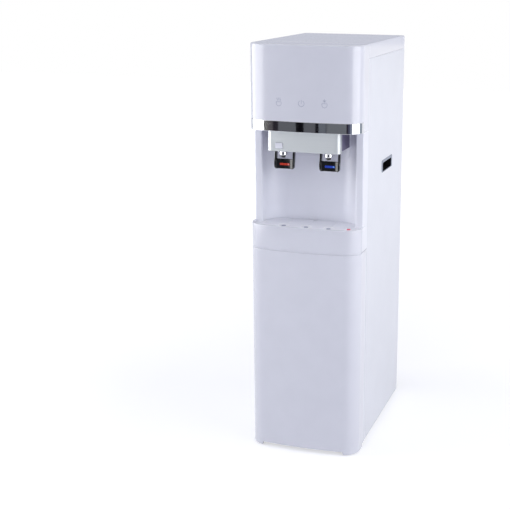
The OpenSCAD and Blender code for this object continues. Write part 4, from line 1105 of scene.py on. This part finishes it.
bores = [peg("bore", bore_r, low, high, hinge_x, hinge_y, sides=40)
         for low, high in ((-10, low_boss + 1), (high_boss - 1, door_top + 9))]
carve(door, "DIFFERENCE", *bores)
place(soften(door, 0.35), "door", "gloss_white", gloss_white, "door_shell")

# %% [markdown]
# ## The bay behind the door
# The sheet frame round the bay's mouth has sloping shoulders that clear the bottle's neck. It is one
# flat sheet with a mouth cut in it, so the mouth is drawn once, half of it, and mirrored.

# %% Bay frame
frame_low, frame_high = span("front_frame")
inner_half = frame_high[0]
bay_half = inner_half - 13.8
shoulder_r = 12
bay_neck = bay_half - 2 * shoulder_r
shoulder_z = deck_low[2] - 74


def mouth_half():
    return ([(bay_half, frame_low[2] + 4.2)]
            + arc(bay_half - shoulder_r, shoulder_z, shoulder_r, 0, 90, 10)
            + arc(bay_neck + shoulder_r, shoulder_z + 2 * shoulder_r, shoulder_r, 270, 180, 10)
            + [(bay_neck, frame_high[2] - 6)])


corners = [(-inner_half, frame_low[2]), (inner_half, frame_low[2]),
           (inner_half, frame_high[2]), (-inner_half, frame_high[2])]
bay_frame = prism("bay_frame", corners, frame_low[1], frame_high[1], axis=1)
carve(bay_frame, "DIFFERENCE", prism("mouth", mouth_half() + mirrored(mouth_half()),
                                     frame_low[1] - 1, frame_high[1] + 1, axis=1))
place(soften(bay_frame, 0.2), "cabinet", "cabinet_white", cabinet_white, "front_frame")

# %% [markdown]
# ## A tree that copies in rows
# Feet, wires, louvres and screws are each one shape, repeated in rows and columns. A loop could place
# them, but a Geometry Nodes tree says it once: a grid of points, an instance on each, made real and
# given its finish. Its sizes are named inputs, so each use only fills them in, and the result is
# turned into a plain mesh.


# %% Geometry Nodes: copies in rows
def node_group(name, inputs):
    """An empty Geometry Nodes tree with named inputs of (label, socket type, value)."""
    tree = bpy.data.node_groups.new(name, "GeometryNodeTree")
    tree.interface.new_socket("Geometry", in_out="INPUT", socket_type="NodeSocketGeometry")
    for label, kind, value in inputs:
        socket = tree.interface.new_socket(label, in_out="INPUT", socket_type=kind)
        if value is not None:
            socket.default_value = value
    tree.interface.new_socket("Geometry", in_out="OUTPUT", socket_type="NodeSocketGeometry")
    return tree, add(tree, "NodeGroupInput").outputs


def made_real(tree, shape, finish):
    """Ends a tree: instances become real, and the result takes its finish."""
    real = add(tree, "GeometryNodeRealizeInstances", {"Geometry": shape})
    painted = add(tree, "GeometryNodeSetMaterial", {"Geometry": real.outputs["Geometry"],
                                                    "Material": finish})
    add(tree, "NodeGroupOutput", {"Geometry": painted.outputs["Geometry"]})
    return tree


def rows_tree():
    """One item copied on a grid: the columns run along x, the rows along y or, tipped up, along z."""
    tree, given = node_group("copies in rows", [
        ("Item", "NodeSocketObject", None), ("Finish", "NodeSocketMaterial", None),
        ("Columns", "NodeSocketInt", 2), ("Rows", "NodeSocketInt", 2),
        ("Column Pitch", "NodeSocketFloat", 0.1), ("Row Pitch", "NodeSocketFloat", 0.1),
        ("Centre", "NodeSocketVector", (0, 0, 0)), ("Tip", "NodeSocketFloat", 0.0)])
    size = {}
    for way in ("Column", "Row"):
        gaps = add(tree, "ShaderNodeMath", {0: given[way + "s"], 1: 1.0}, operation="SUBTRACT")
        size[way] = add(tree, "ShaderNodeMath", {0: gaps.outputs[0], 1: given[way + " Pitch"]},
                        operation="MULTIPLY").outputs[0]
    grid = add(tree, "GeometryNodeMeshGrid", {"Size X": size["Column"], "Size Y": size["Row"],
                                              "Vertices X": given["Columns"], "Vertices Y": given["Rows"]})
    tip = add(tree, "ShaderNodeCombineXYZ", {"X": given["Tip"]})
    moved = add(tree, "GeometryNodeTransform", {"Geometry": grid.outputs["Mesh"],
                                                "Translation": given["Centre"],
                                                "Rotation": tip.outputs["Vector"]})
    item = add(tree, "GeometryNodeObjectInfo", {"Object": given["Item"]})
    copies = add(tree, "GeometryNodeInstanceOnPoints", {"Points": moved.outputs["Geometry"],
                                                        "Instance": item.outputs["Geometry"]})
    return made_real(tree, copies.outputs["Instances"], given["Finish"])


def grown(name, tree, values, points=((0, 0, 0),), edges=()):
    """A plain mesh made by a tree: inputs set by identifier, evaluated, and the modifier gone."""
    piece = in_scene(name, raw_mesh(name, points, edges))
    nodes = piece.modifiers.new("nodes", "NODES")
    nodes.node_group = tree
    for item in tree.interface.items_tree:
        if item.item_type == "SOCKET" and item.in_out == "INPUT" and item.name in values:
            nodes[item.identifier] = values[item.name]
    bake(piece)
    for polygon in piece.data.polygons:
        polygon.use_smooth = True
    return piece


def in_rows(name, item, finish, columns, lines, pitch, centre=(0, 0, 0), tip=0.0):
    """Copies of an item, which is used up; the pitch and the centre are in millimetres."""
    piece = grown(name, rows, {
        "Item": item, "Finish": finish, "Columns": columns, "Rows": lines, "Tip": tip,
        "Column Pitch": pitch[0] * MM, "Row Pitch": pitch[1] * MM, "Centre": [c * MM for c in centre]})
    drop(item)
    return piece


rows = rows_tree()
print("node tree:", rows.name)

# %% [markdown]
# ## The feet
# Four levelling feet of moulded rubber carry the cabinet. One is turned from a profile with a rounded
# sole and a stepped shoulder, and the tree sets it at the four corners.

# %% Feet
feet_low, feet_high = span("levelling_feet")
foot_r = 18
foot = lathe("foot", [(0, 0), (foot_r - 4, 0), (foot_r - 1, 1.2), (foot_r, 3), (foot_r, 5),
                      (foot_r - 1.2, 7.2), (foot_r - 4, 9.4), (foot_r - 7, 11), (foot_r - 8, 11.9),
                      (0, 11.9)], sides=40)
foot_pitch = [feet_high[i] - feet_low[i] - 2 * foot_r for i in (0, 1)]
feet = in_rows("rubber_feet", soften(foot, 0), rubber, 2, 2, foot_pitch,
               (*middle("levelling_feet")[:2], 0))
place(feet, "cabinet", "black_rubber", rubber, "levelling_feet")

# %% [markdown]
# ## Bottle, collar and probe
# A 19 litre bottle is blown in a mould: its rings stiffen it, and every change of radius is rounded
# because the plastic was hot. A lathe profile with its corners cut twice gives those soft rings. The
# collar and the probe's cap sit on the neck, and a pale dip tube runs down to the bottom.


# %% Bottle
def eased(profile, rounds=2):
    """Cuts each corner of a profile, so that it turns in a soft curve; its ends stay."""
    for _ in range(rounds):
        cut = [profile[0]]
        for (r0, z0), (r1, z1) in zip(profile, profile[1:]):
            cut += [(0.75 * r0 + 0.25 * r1, 0.75 * z0 + 0.25 * z1),
                    (0.25 * r0 + 0.75 * r1, 0.25 * z0 + 0.75 * z1)]
        profile = cut + [profile[-1]]
    return profile


bottle_low, bottle_high = span("bottle")
bottle_r = bottle_high[0]
collar_low, collar_high = span("bottle_collar")
neck_r = 26.5
neck_h = 58
bottle_h = bottle_high[2] - bottle_low[2] - neck_h
bottle_t = 2
skin = [(bottle_r - 40, 0), (bottle_r - 22, 0), (bottle_r - 12, 6), (bottle_r - 5, 20),
        (bottle_r - 4, 34), (bottle_r - 4, 68), (bottle_r - 9, 78), (bottle_r - 10, 0.48 * bottle_h),
        (bottle_r - 3, 0.505 * bottle_h), (bottle_r - 3, 0.605 * bottle_h),
        (bottle_r - 8, 0.625 * bottle_h), (bottle_r - 8, 0.73 * bottle_h),
        (bottle_r, 0.785 * bottle_h), (bottle_r, 0.885 * bottle_h), (bottle_r - 8, bottle_h - 30),
        (bottle_r - 30, bottle_h - 14), (bottle_r - 70, bottle_h - 5), (neck_r + 6, bottle_h - 2),
        (neck_r, bottle_h + 8), (neck_r, bottle_h + neck_h)]
skin = [(0, 6), (bottle_r - 58, 6)] + eased(skin)


def inner_point(r, z):
    """The inner skin's point for one of the outer skin: 2 mm in, 1.2 mm down at the shoulder."""
    if z < 20:
        z = (max(z, 6) if r < bottle_r - 45 else z) + 2
    elif z > bottle_h - 60 and r - bottle_t > neck_r + 1:
        z -= 1.2
    return max(r - bottle_t, 0), z


lining = [(0, 8)] + [inner_point(r, z) for r, z in skin[1:]]
bottle = lathe("water_bottle", skin + lining[::-1], z=bottle_low[2], sides=96)
place(soften(bottle, 0), "cabinet", "bottle_blue", bottle_blue, "bottle")

collar_r = collar_high[0]
collar_h = collar_high[2] - collar_low[2]
collar_profile = [(neck_r + 0.1, 0), (collar_r - 0.6, 0), (collar_r, 0.6), (collar_r, 4),
                  (collar_r - 1.2, 4.6), (collar_r - 1.2, 6), (collar_r, 6.6),
                  (collar_r, collar_h - 4), (collar_r - 2.5, collar_h - 0.6),
                  (collar_r - 6, collar_h), (5.2, collar_h), (5.2, 13), (neck_r + 0.1, 13)]
collar = lathe("bottle_cap", collar_profile, z=collar_low[2])
place(soften(collar, 0, angle=40), "cabinet", "collar_blue", collar_blue, "bottle_collar")

probe_low = span("probe_head")[0]
probe_r = -probe_low[0]
cap_profile = [(0, 0), (probe_r - 3, 0), (probe_r - 0.8, 1.2), (probe_r, 4), (probe_r, 19),
               (probe_r - 1.4, 23), (probe_r - 5, 26.6), (probe_r - 9, 28), (probe_r - 16, 28.4),
               (probe_r - 17.4, 30), (probe_r - 18, 33), (probe_r - 19.5, 34), (0, 34)]
cap = lathe("probe_cap", cap_profile, z=probe_low[2])
barb = peg("barb", hose_d / 2, 0, 12, sides=32)
barb_at = Matrix.Translation((0.028, 0, probe_low[2] * MM + 0.015))
barb.data.transform(barb_at @ Matrix.Rotation(pi / 2, 4, "Y"))
carve(cap, "UNION", barb)
place(soften(cap, 0.3), "cabinet", "probe_white", probe_white, "probe_head")

# %% [markdown]
# ## The condenser
# Behind the cabinet a black tube runs to and fro fifteen times to shed the cooler's heat, with fine
# wires welded across it. The tube is one path with round bends, so a tree sweeps a circle along it.
# The wires are one rod copied along a row in front of the tube and another behind it.

# %% Condenser coil
coil_r = 2.4
coil_pitch, coil_runs, coil_half = 34, 15, 98
coil_y = middle("condenser_coil")[1]
coil_z = span("condenser_coil")[0][2] + coil_r


def rod_tree():
    """A round rod along the edges of a mesh line."""
    tree, given = node_group("rod along a path", [
        ("Finish", "NodeSocketMaterial", None), ("Rod Radius", "NodeSocketFloat", 0.002),
        ("Sides", "NodeSocketInt", 12)])
    path = add(tree, "GeometryNodeMeshToCurve", {"Mesh": given["Geometry"]})
    ring = add(tree, "GeometryNodeCurvePrimitiveCircle", {"Resolution": given["Sides"],
                                                          "Radius": given["Rod Radius"]})
    rod = add(tree, "GeometryNodeCurveToMesh", {"Curve": path.outputs["Curve"],
                                                "Profile Curve": ring.outputs["Curve"],
                                                "Fill Caps": True})
    return made_real(tree, rod.outputs["Mesh"], given["Finish"])


def serpentine():
    """The tube's centre line: level runs joined by half circles at alternate ends."""
    line = []
    for run in range(coil_runs):
        side, z = (1 if run % 2 == 0 else -1), coil_z + run * coil_pitch
        line += [(-side * coil_half, coil_y, z), (side * coil_half, coil_y, z)]
        if run < coil_runs - 1:
            line += [(side * (coil_half + coil_pitch / 2 * cos(a)), coil_y,
                      z + coil_pitch / 2 * (1 + sin(a))) for a in map(radians, range(-75, 90, 15))]
    return line


coil_line = serpentine()
coil_edges = [(k, k + 1) for k in range(len(coil_line) - 1)]
coil_values = {"Finish": enamel, "Rod Radius": coil_r * MM, "Sides": 14}
coil = grown("condenser_tube", rod_tree(), coil_values, coil_line, coil_edges)
place(coil, "cabinet", "coil_black", enamel, "condenser_coil")

# %% Condenser wires
wire_low, wire_high = span("condenser_wires")
wire_r = 0.7
wire_pitch, wire_count = 12, 17
wire = peg("wire", wire_r, wire_low[2], wire_high[2], sides=8)
wire_gap = wire_high[1] - wire_low[1] - 2 * wire_r
wires = in_rows("condenser_wire_grid", wire, enamel, wire_count, 2, (wire_pitch, wire_gap),
                (0, coil_y, 0))
place(wires, "cabinet", "coil_black", enamel, "condenser_wires")

# %% [markdown]
# ## The rear panel
# A flat sheet closes the upper compartment. Its two columns of slots let the compressor's heat out.
# The slots are one cutter copied on a grid, and small hoods pressed out of the sheet sit over them.
# A window takes the two switches, and round holes take the cord gland and the drain.

# %% Rear panel
rear_low, rear_high = span("rear_panel")
rear_face = rear_low[1] + sheet_t
slot_x, slot_w, slot_h, slot_rows, slot_pitch = 62, 86, 5, 9, 14
slot_z = deck_high[2] + 90
slots_mid = slot_z + slot_h / 2 + (slot_rows - 1) / 2 * slot_pitch
louvres = {"finish": cabinet_white, "columns": 2, "lines": slot_rows, "pitch": (2 * slot_x, slot_pitch),
           "centre": (0, 0, slots_mid), "tip": pi / 2}
slot = prism("slot", rounded_rect(-slot_w / 2, slot_w / 2, -slot_h / 2, slot_h / 2, 2.4),
             rear_low[1] - 1, rear_face + 1, axis=1)
cutters = in_rows("slot_cutters", slot, **louvres)
rear_sheet = block("rear_sheet", (-inner_half, rear_low[1], rear_low[2]),
                   (inner_half, rear_face, rear_high[2]))
ledge = block("ledge", (-inner_half, rear_low[1], rear_high[2] - sheet_t),
              (inner_half, rear_high[1], rear_high[2]))
carve(rear_sheet, "UNION", ledge)
bezel_low, bezel_high = span("switch_bezels")
bezel_rim, switch_w = 1.9, 24.2
window = block("window", (bezel_low[0] + bezel_rim, rear_low[1] - 1, bezel_low[2] + bezel_rim),
               (bezel_high[0] - bezel_rim, rear_face + 1, bezel_high[2] - bezel_rim))
web = block("web", (bezel_low[0] + switch_w, rear_low[1] - 2, bezel_low[2]),
            (bezel_high[0] - switch_w, rear_face + 2, bezel_high[2]))
carve(window, "DIFFERENCE", web)
holes = [prism("hole", arc(middle(node)[0], middle(node)[2], r, 0, 352.5, 47),
               rear_low[1] - 1, rear_face + 1, axis=1)
         for node, r in (("cord_gland", 9.1), ("drain_spigot", 8.1))]
carve(rear_sheet, "DIFFERENCE", cutters, window, *holes)
place(soften(rear_sheet, 0.2), "cabinet", "cabinet_white", cabinet_white, "rear_panel")


# %% Louvre hoods
def hood_arc(reach, height, angles):
    """Points of a hood's curved skin from the side, as (y, z)."""
    return [(rear_face + reach * sin(a), height * cos(a) - 0.6) for a in map(radians, angles)]


hood_profile = ([(rear_face - 0.02, 3.4)] + hood_arc(3.2, 3.4, range(15, 91, 15))
                + [(rear_face + 2.5, -0.6)] + hood_arc(2.5, 2.6, range(75, 0, -15))
                + [(rear_face - 0.02, 2.2)])
hood = prism("hood", hood_profile, -slot_w / 2 + 1, slot_w / 2 - 1, axis=0)
hoods = in_rows("louvre_hoods", soften(hood, 0), **louvres)
place(hoods, "cabinet", "cabinet_white", cabinet_white)

# %% [markdown]
# ## Screws
# Pan-head screws with a cross recess hold the rear sheet and the front posts. One head is turned and
# its recess cut; the tree copies it in rows, turned to face the rear or the front.

# %% Screws
head_profile = [(0, 0), (3.2, 0), (3.2, 0.5), (2.9, 1.1), (2.2, 1.5), (1.2, 1.7), (0, 1.75)]
screw = lathe("screw", head_profile, sides=24)
for x, y in ((1.7, 0.35), (0.35, 1.7)):
    carve(screw, "DIFFERENCE", block("recess", (-x, -y, 0.9), (x, y, 3)))
soften(screw, 0, angle=40)


def screws(name, turn, columns, lines, pitch, centre):
    """Screw heads in rows on an upright face; turn is -90 degrees to face the rear, 90 the front."""
    turned = in_scene("turned_screw", screw.data.copy())
    turned.data.transform(Matrix.Rotation(radians(turn), 4, "X"))
    piece = in_rows(name, turned, steel, columns, lines, pitch, centre, pi / 2)
    return place(piece, "cabinet", "steel_pin", steel)


rear_screw_x, rear_screw_pitch = 144, 140
post_screw_x, post_screw_pitch, post_screw_z = 148, 26, 72
sink = 0.05
screws("rear_screws", -90, 2, 4, (2 * rear_screw_x, rear_screw_pitch),
       (0, rear_face - sink, middle("rear_panel")[2]))
screws("post_screws", 90, 2, 2, (2 * post_screw_x, post_screw_pitch),
       (0, panel_y + sink, post_screw_z))
drop(screw)

# %% [markdown]
# ## Marks on the head
# Three small pale marks are printed on the crown: a cup with heat waves, a power sign, and a cup with
# a snowflake. They are thin strips of ink. Each stroke is a flat ribbon along a line; its points are
# laid on the crown's own curve, a tenth of a millimetre proud of the skin.

# %% Printed marks
mark_x, mark_z = 62, head_z + 50
ink_top = 0.02
stroke = 1.2
mark_scale = 1.3


def on_crown(x, z, lift):
    """A point at the front, lifted off the head's skin."""
    return (x, crown_y - sqrt((crown_r - lift) ** 2 - x ** 2), z)


def ribbon(line, x0, z0):
    """The two edges of a flat ribbon along a line of (x, z), pair by pair."""
    spots = [Vector((mark_scale * x, mark_scale * z)) for x, z in line]
    edges = []
    for before, spot, after in zip(spots[:1] + spots, spots, spots[1:] + spots[-1:]):
        along = (after - before).normalized()
        side = Vector((-along.y, along.x)) * stroke / 2
        edges.append(((x0 + spot.x + side.x, z0 + spot.y + side.y),
                      (x0 + spot.x - side.x, z0 + spot.y - side.y)))
    return edges


def printed(name, strokes, x0):
    """A thin solid for each stroke, all in one piece."""
    points, faces = [], []
    for line in strokes:
        first = len(points)
        for left, right in ribbon(line, x0, mark_z):
            points += [on_crown(*left, ink_top), on_crown(*right, ink_top),
                       on_crown(*right, ink + 0.05), on_crown(*left, ink + 0.05)]
        last = len(points) - 4
        for a in range(first, last, 4):
            faces += [[a + i, a + (i + 1) % 4, a + 4 + (i + 1) % 4, a + 4 + i] for i in range(4)]
        faces += [[first + i for i in (3, 2, 1, 0)], [last + i for i in range(4)]]
    return new_piece(name, points, faces)


def wave_line(x):
    return [(x + 0.9 * sin(radians(a)), 2.2 + a / 60) for a in range(0, 361, 30)]


def flake_line(angle):
    x, z = 4 * cos(radians(angle)), 4 * sin(radians(angle))
    return [(x, 5 + z), (0, 5), (-x, 5 - z)]


cup = [(-5.5, 0), (-5.2, -3)] + arc(0, -3, 5.2, 180, 360, 10)[1:-1] + [(5.2, -3), (5.5, 0), (-5.5, 0)]
marks = {
    "heating_mark": (-mark_x, [cup] + [wave_line(x) for x in (-3.2, 0, 3.2)]),
    "power_mark": (0, [arc(0, -1.5, 6, 118, 422, 24), [(0, -1.5), (0, 2), (0, 6)]]),
    "cooling_mark": (mark_x, [cup] + [flake_line(angle) for angle in (90, 30, 150)]),
}
for name, (x0, strokes) in marks.items():
    place(printed(name, strokes, x0), "cabinet", "gloss_white", icon_grey)

# %% [markdown]
# ## Finishes for the CAD's own parts
# Flat brackets, tanks, sheets and pins already have their right shape in the CAD, so their meshes
# stay and only their material changes. A new piece for each would add nothing that shows.

# %% CAD parts that stay
kept = {
    galvanised: ["base_plate", "mid_deck"],
    rubber: ["hose_grommet"],
    dark_plastic: ["corner_blocks", "switch_bezels", "water_pump", "door_catch"],
    # painted shade: the housing's slate-lavender tone stands in for the shade in the niche's upper corner
    housing_shade_slate: ["tap_housing"],
    pad_foam: ["base_front_pad"],
    shelf_blue: ["bottle_shelf"],
    strap_grey: ["cross_strap"],
    satin_white: ["drain_spigot"],
    steel: ["lever_pins", "condenser_brackets", "hinge_bracket_top", "hinge_bracket_bottom", "door_strike",
            "hot_tank"],
    enamel: ["compressor"],
    tank_foam: ["cold_tank"],
    board_green: ["control_board"],
    black_gloss: ["cord_gland"],
    probe_white: ["dip_tube"],
    nylon: ["door_bush_top", "door_bush_bottom"],
    hot_red: ["hot_switch"],
    mark_green: ["cold_switch"],
}
for material, names in kept.items():
    for name in names:
        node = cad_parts[name]
        if not node.material_slots:
            node.data.materials.append(material)
        for held in node.material_slots:
            held.material = material
print(sum(len(names) for names in kept.values()), "CAD parts have a new finish")

# %% [markdown]
# ## The studio
# The light is a plain product studio: a pale floor and backdrop, and a soft, slightly cool light from
# all round. What the camera sees of them, straight, in a mirror or through glass, is white, and what
# falls on the cabinet stays plain. Light Path tells the two apart, and the floor keeps the shadow.


# %% Floor and backdrop
def shown(tree, plain, seen):
    """Mixes two shaders: one for what is seen, straight or in gloss or glass, one for the rest."""
    path = add(tree, "ShaderNodeLightPath").outputs
    rays = path["Is Camera Ray"]
    for ray in ("Is Glossy Ray", "Is Transmission Ray"):
        rays = add(tree, "ShaderNodeMath", {0: rays, 1: path[ray]}, operation="MAXIMUM").outputs[0]
    return add(tree, "ShaderNodeMixShader", {0: rays, 1: plain, 2: seen}).outputs[0]


bpy.context.scene.view_settings.view_transform = "Standard"
world = bpy.data.worlds.new("studio_world")
bpy.context.scene.world = world
tree = empty_tree(world)
way = add(tree, "ShaderNodeSeparateXYZ", {"Vector": add(tree, "ShaderNodeTexCoord").outputs["Generated"]})
sky = add(tree, "ShaderNodeMapRange", {"Value": way.outputs["Z"], "From Min": 0.0, "From Max": 0.9,
                                       "To Min": 0.64, "To Max": 0.54})
soft = add(tree, "ShaderNodeBackground", {"Color": linear("#E4E6F0"), "Strength": sky.outputs["Result"]})
white = add(tree, "ShaderNodeBackground", {"Color": (1, 1, 1, 1), "Strength": 1.0})
add(tree, "ShaderNodeOutputWorld", {"Surface": shown(tree, soft.outputs[0], white.outputs[0])})

reach = 9000
floor_corners = [(-reach, -reach, 0), (reach, -reach, 0), (reach, reach, 0), (-reach, reach, 0)]
floor = in_scene("studio_floor", raw_mesh("studio_floor", floor_corners, faces=[(0, 1, 2, 3)]))
pale = bpy.data.materials.new("pale studio floor")
tree = empty_tree(pale)
paper = add(tree, "ShaderNodeBsdfDiffuse", {"Color": linear("#C4C5CC")})
spot = add(tree, "ShaderNodeTexCoord").outputs["Object"]
away = add(tree, "ShaderNodeVectorMath", {0: spot}, operation="LENGTH")
sweep = add(tree, "ShaderNodeMapRange", {"Value": away.outputs["Value"], "From Min": 0.6, "From Max": 3.5,
                                         "To Min": 0.56, "To Max": 0.84})
glow = add(tree, "ShaderNodeEmission", {"Color": (1, 1, 1, 1), "Strength": sweep.outputs["Result"]})
lift = add(tree, "ShaderNodeAddShader", {0: paper.outputs[0], 1: glow.outputs[0]})
add(tree, "ShaderNodeOutputMaterial", {"Surface": shown(tree, paper.outputs[0], lift.outputs[0])})
floor.data.materials.append(pale)
print("floor and world ready")

# %% [markdown]
# ## Lamps and reflected panels
# Soft lamps stand at the right, the side and the left, and a low one in front reaches into the
# dispensing space under the head. Gloss needs something to reflect, so tall white panels stand at
# both sides and grey ones in front, as they would in a product studio. The lamps give the light and
# no reflections, the panels only reflections, so that each can be set without the other.


# %% Lamps and panels
def lamp(name, at, aim, size, watts, colour="#FFFFFF"):
    """A soft rectangular lamp that points at a spot; it isn't seen in reflections."""
    light = bpy.data.lights.new(name, "AREA")
    light.shape = "RECTANGLE"
    light.size, light.size_y = size
    light.energy = watts
    light.color = linear(colour)[:3]
    holder = in_scene(name, light)
    turned = (Vector(aim) - Vector(at)).to_track_quat("-Z", "Y").to_matrix().to_4x4()
    holder.matrix_world = Matrix.Translation(at) @ turned
    holder.visible_glossy = False


lamp("right_lamp", (2.8, -0.9, 1.8), (0.1, 0, 0.85), (2.0, 1.6), 28)
lamp("side_lamp", (2.4, 0.35, 1.6), (0.15, 0.1, 0.85), (1.2, 1.2), 15)
lamp("left_lamp", (-3.0, -1.0, 1.5), (-0.1, 0, 0.7), (1.4, 1.8), 47)
lamp("front_lamp", (1.0, -3.1, 0.8), (-0.05, 0, 0.85), (1.8, 1.2), 16, "#F0F2FF")


def reflected_panel(name, start, stop, strength, colour="#FFFFFF", low=50, high=2400, radius=2600):
    """A curved upright panel between two bearings from the front, in degrees, seen only in gloss."""
    steps = max(2, int(abs(stop - start) / 3))
    bearings = [radians(start + (stop - start) * k / steps) for k in range(steps + 1)]
    points = [(radius * sin(a), -radius * cos(a), z) for a in bearings for z in (low, high)]
    faces = [(2 * k, 2 * k + 2, 2 * k + 3, 2 * k + 1) for k in range(steps)]
    panel = in_scene(name, raw_mesh(name, points, faces=faces))
    material = bpy.data.materials.new(name)
    tree = empty_tree(material)
    shine = add(tree, "ShaderNodeEmission", {"Color": linear(colour), "Strength": strength})
    add(tree, "ShaderNodeOutputMaterial", {"Surface": shine.outputs[0]})
    panel.data.materials.append(material)
    for ray in ("camera", "diffuse", "transmission", "volume_scatter", "shadow"):
        setattr(panel, f"visible_{ray}", False)


reflected_panel("left_white_panel", -100, -32.7, 5.2)
reflected_panel("right_white_panel", 45, 98, 3.0)
reflected_panel("rear_grey_panel", 125, 235, 0.7, "#EDF0FF", 900, 2200, 3200)
room = [(-32.7, -30.6, "#72706F"), (-30.6, -28.6, "#5E5A5E"), (-28.6, -26.3, "#2B2830"),
        (-26.3, -18.9, "#686A70"), (-18.9, -15.7, "#0E0C12"), (-15.7, -10.9, "#63646A"),
        (-10.9, -9.6, "#141219"), (-9.6, -6.7, "#6E727B"), (-6.7, -6.3, "#4A4B52"),
        (-6.3, 10.5, "#75787E"), (10.5, 20, "#322E3A"), (20, 31, "#4E5064"), (31, 45, "#838A9E"),
        (98, 124, "#A7AFBC"), (-126, -100, "#A7AFBC")]
for number, (start, stop, colour) in enumerate(room):
    reflected_panel(f"room_panel_{number}", start, stop, 1.0, colour)
print("4 lamps and", 3 + len(room), "reflected panels")
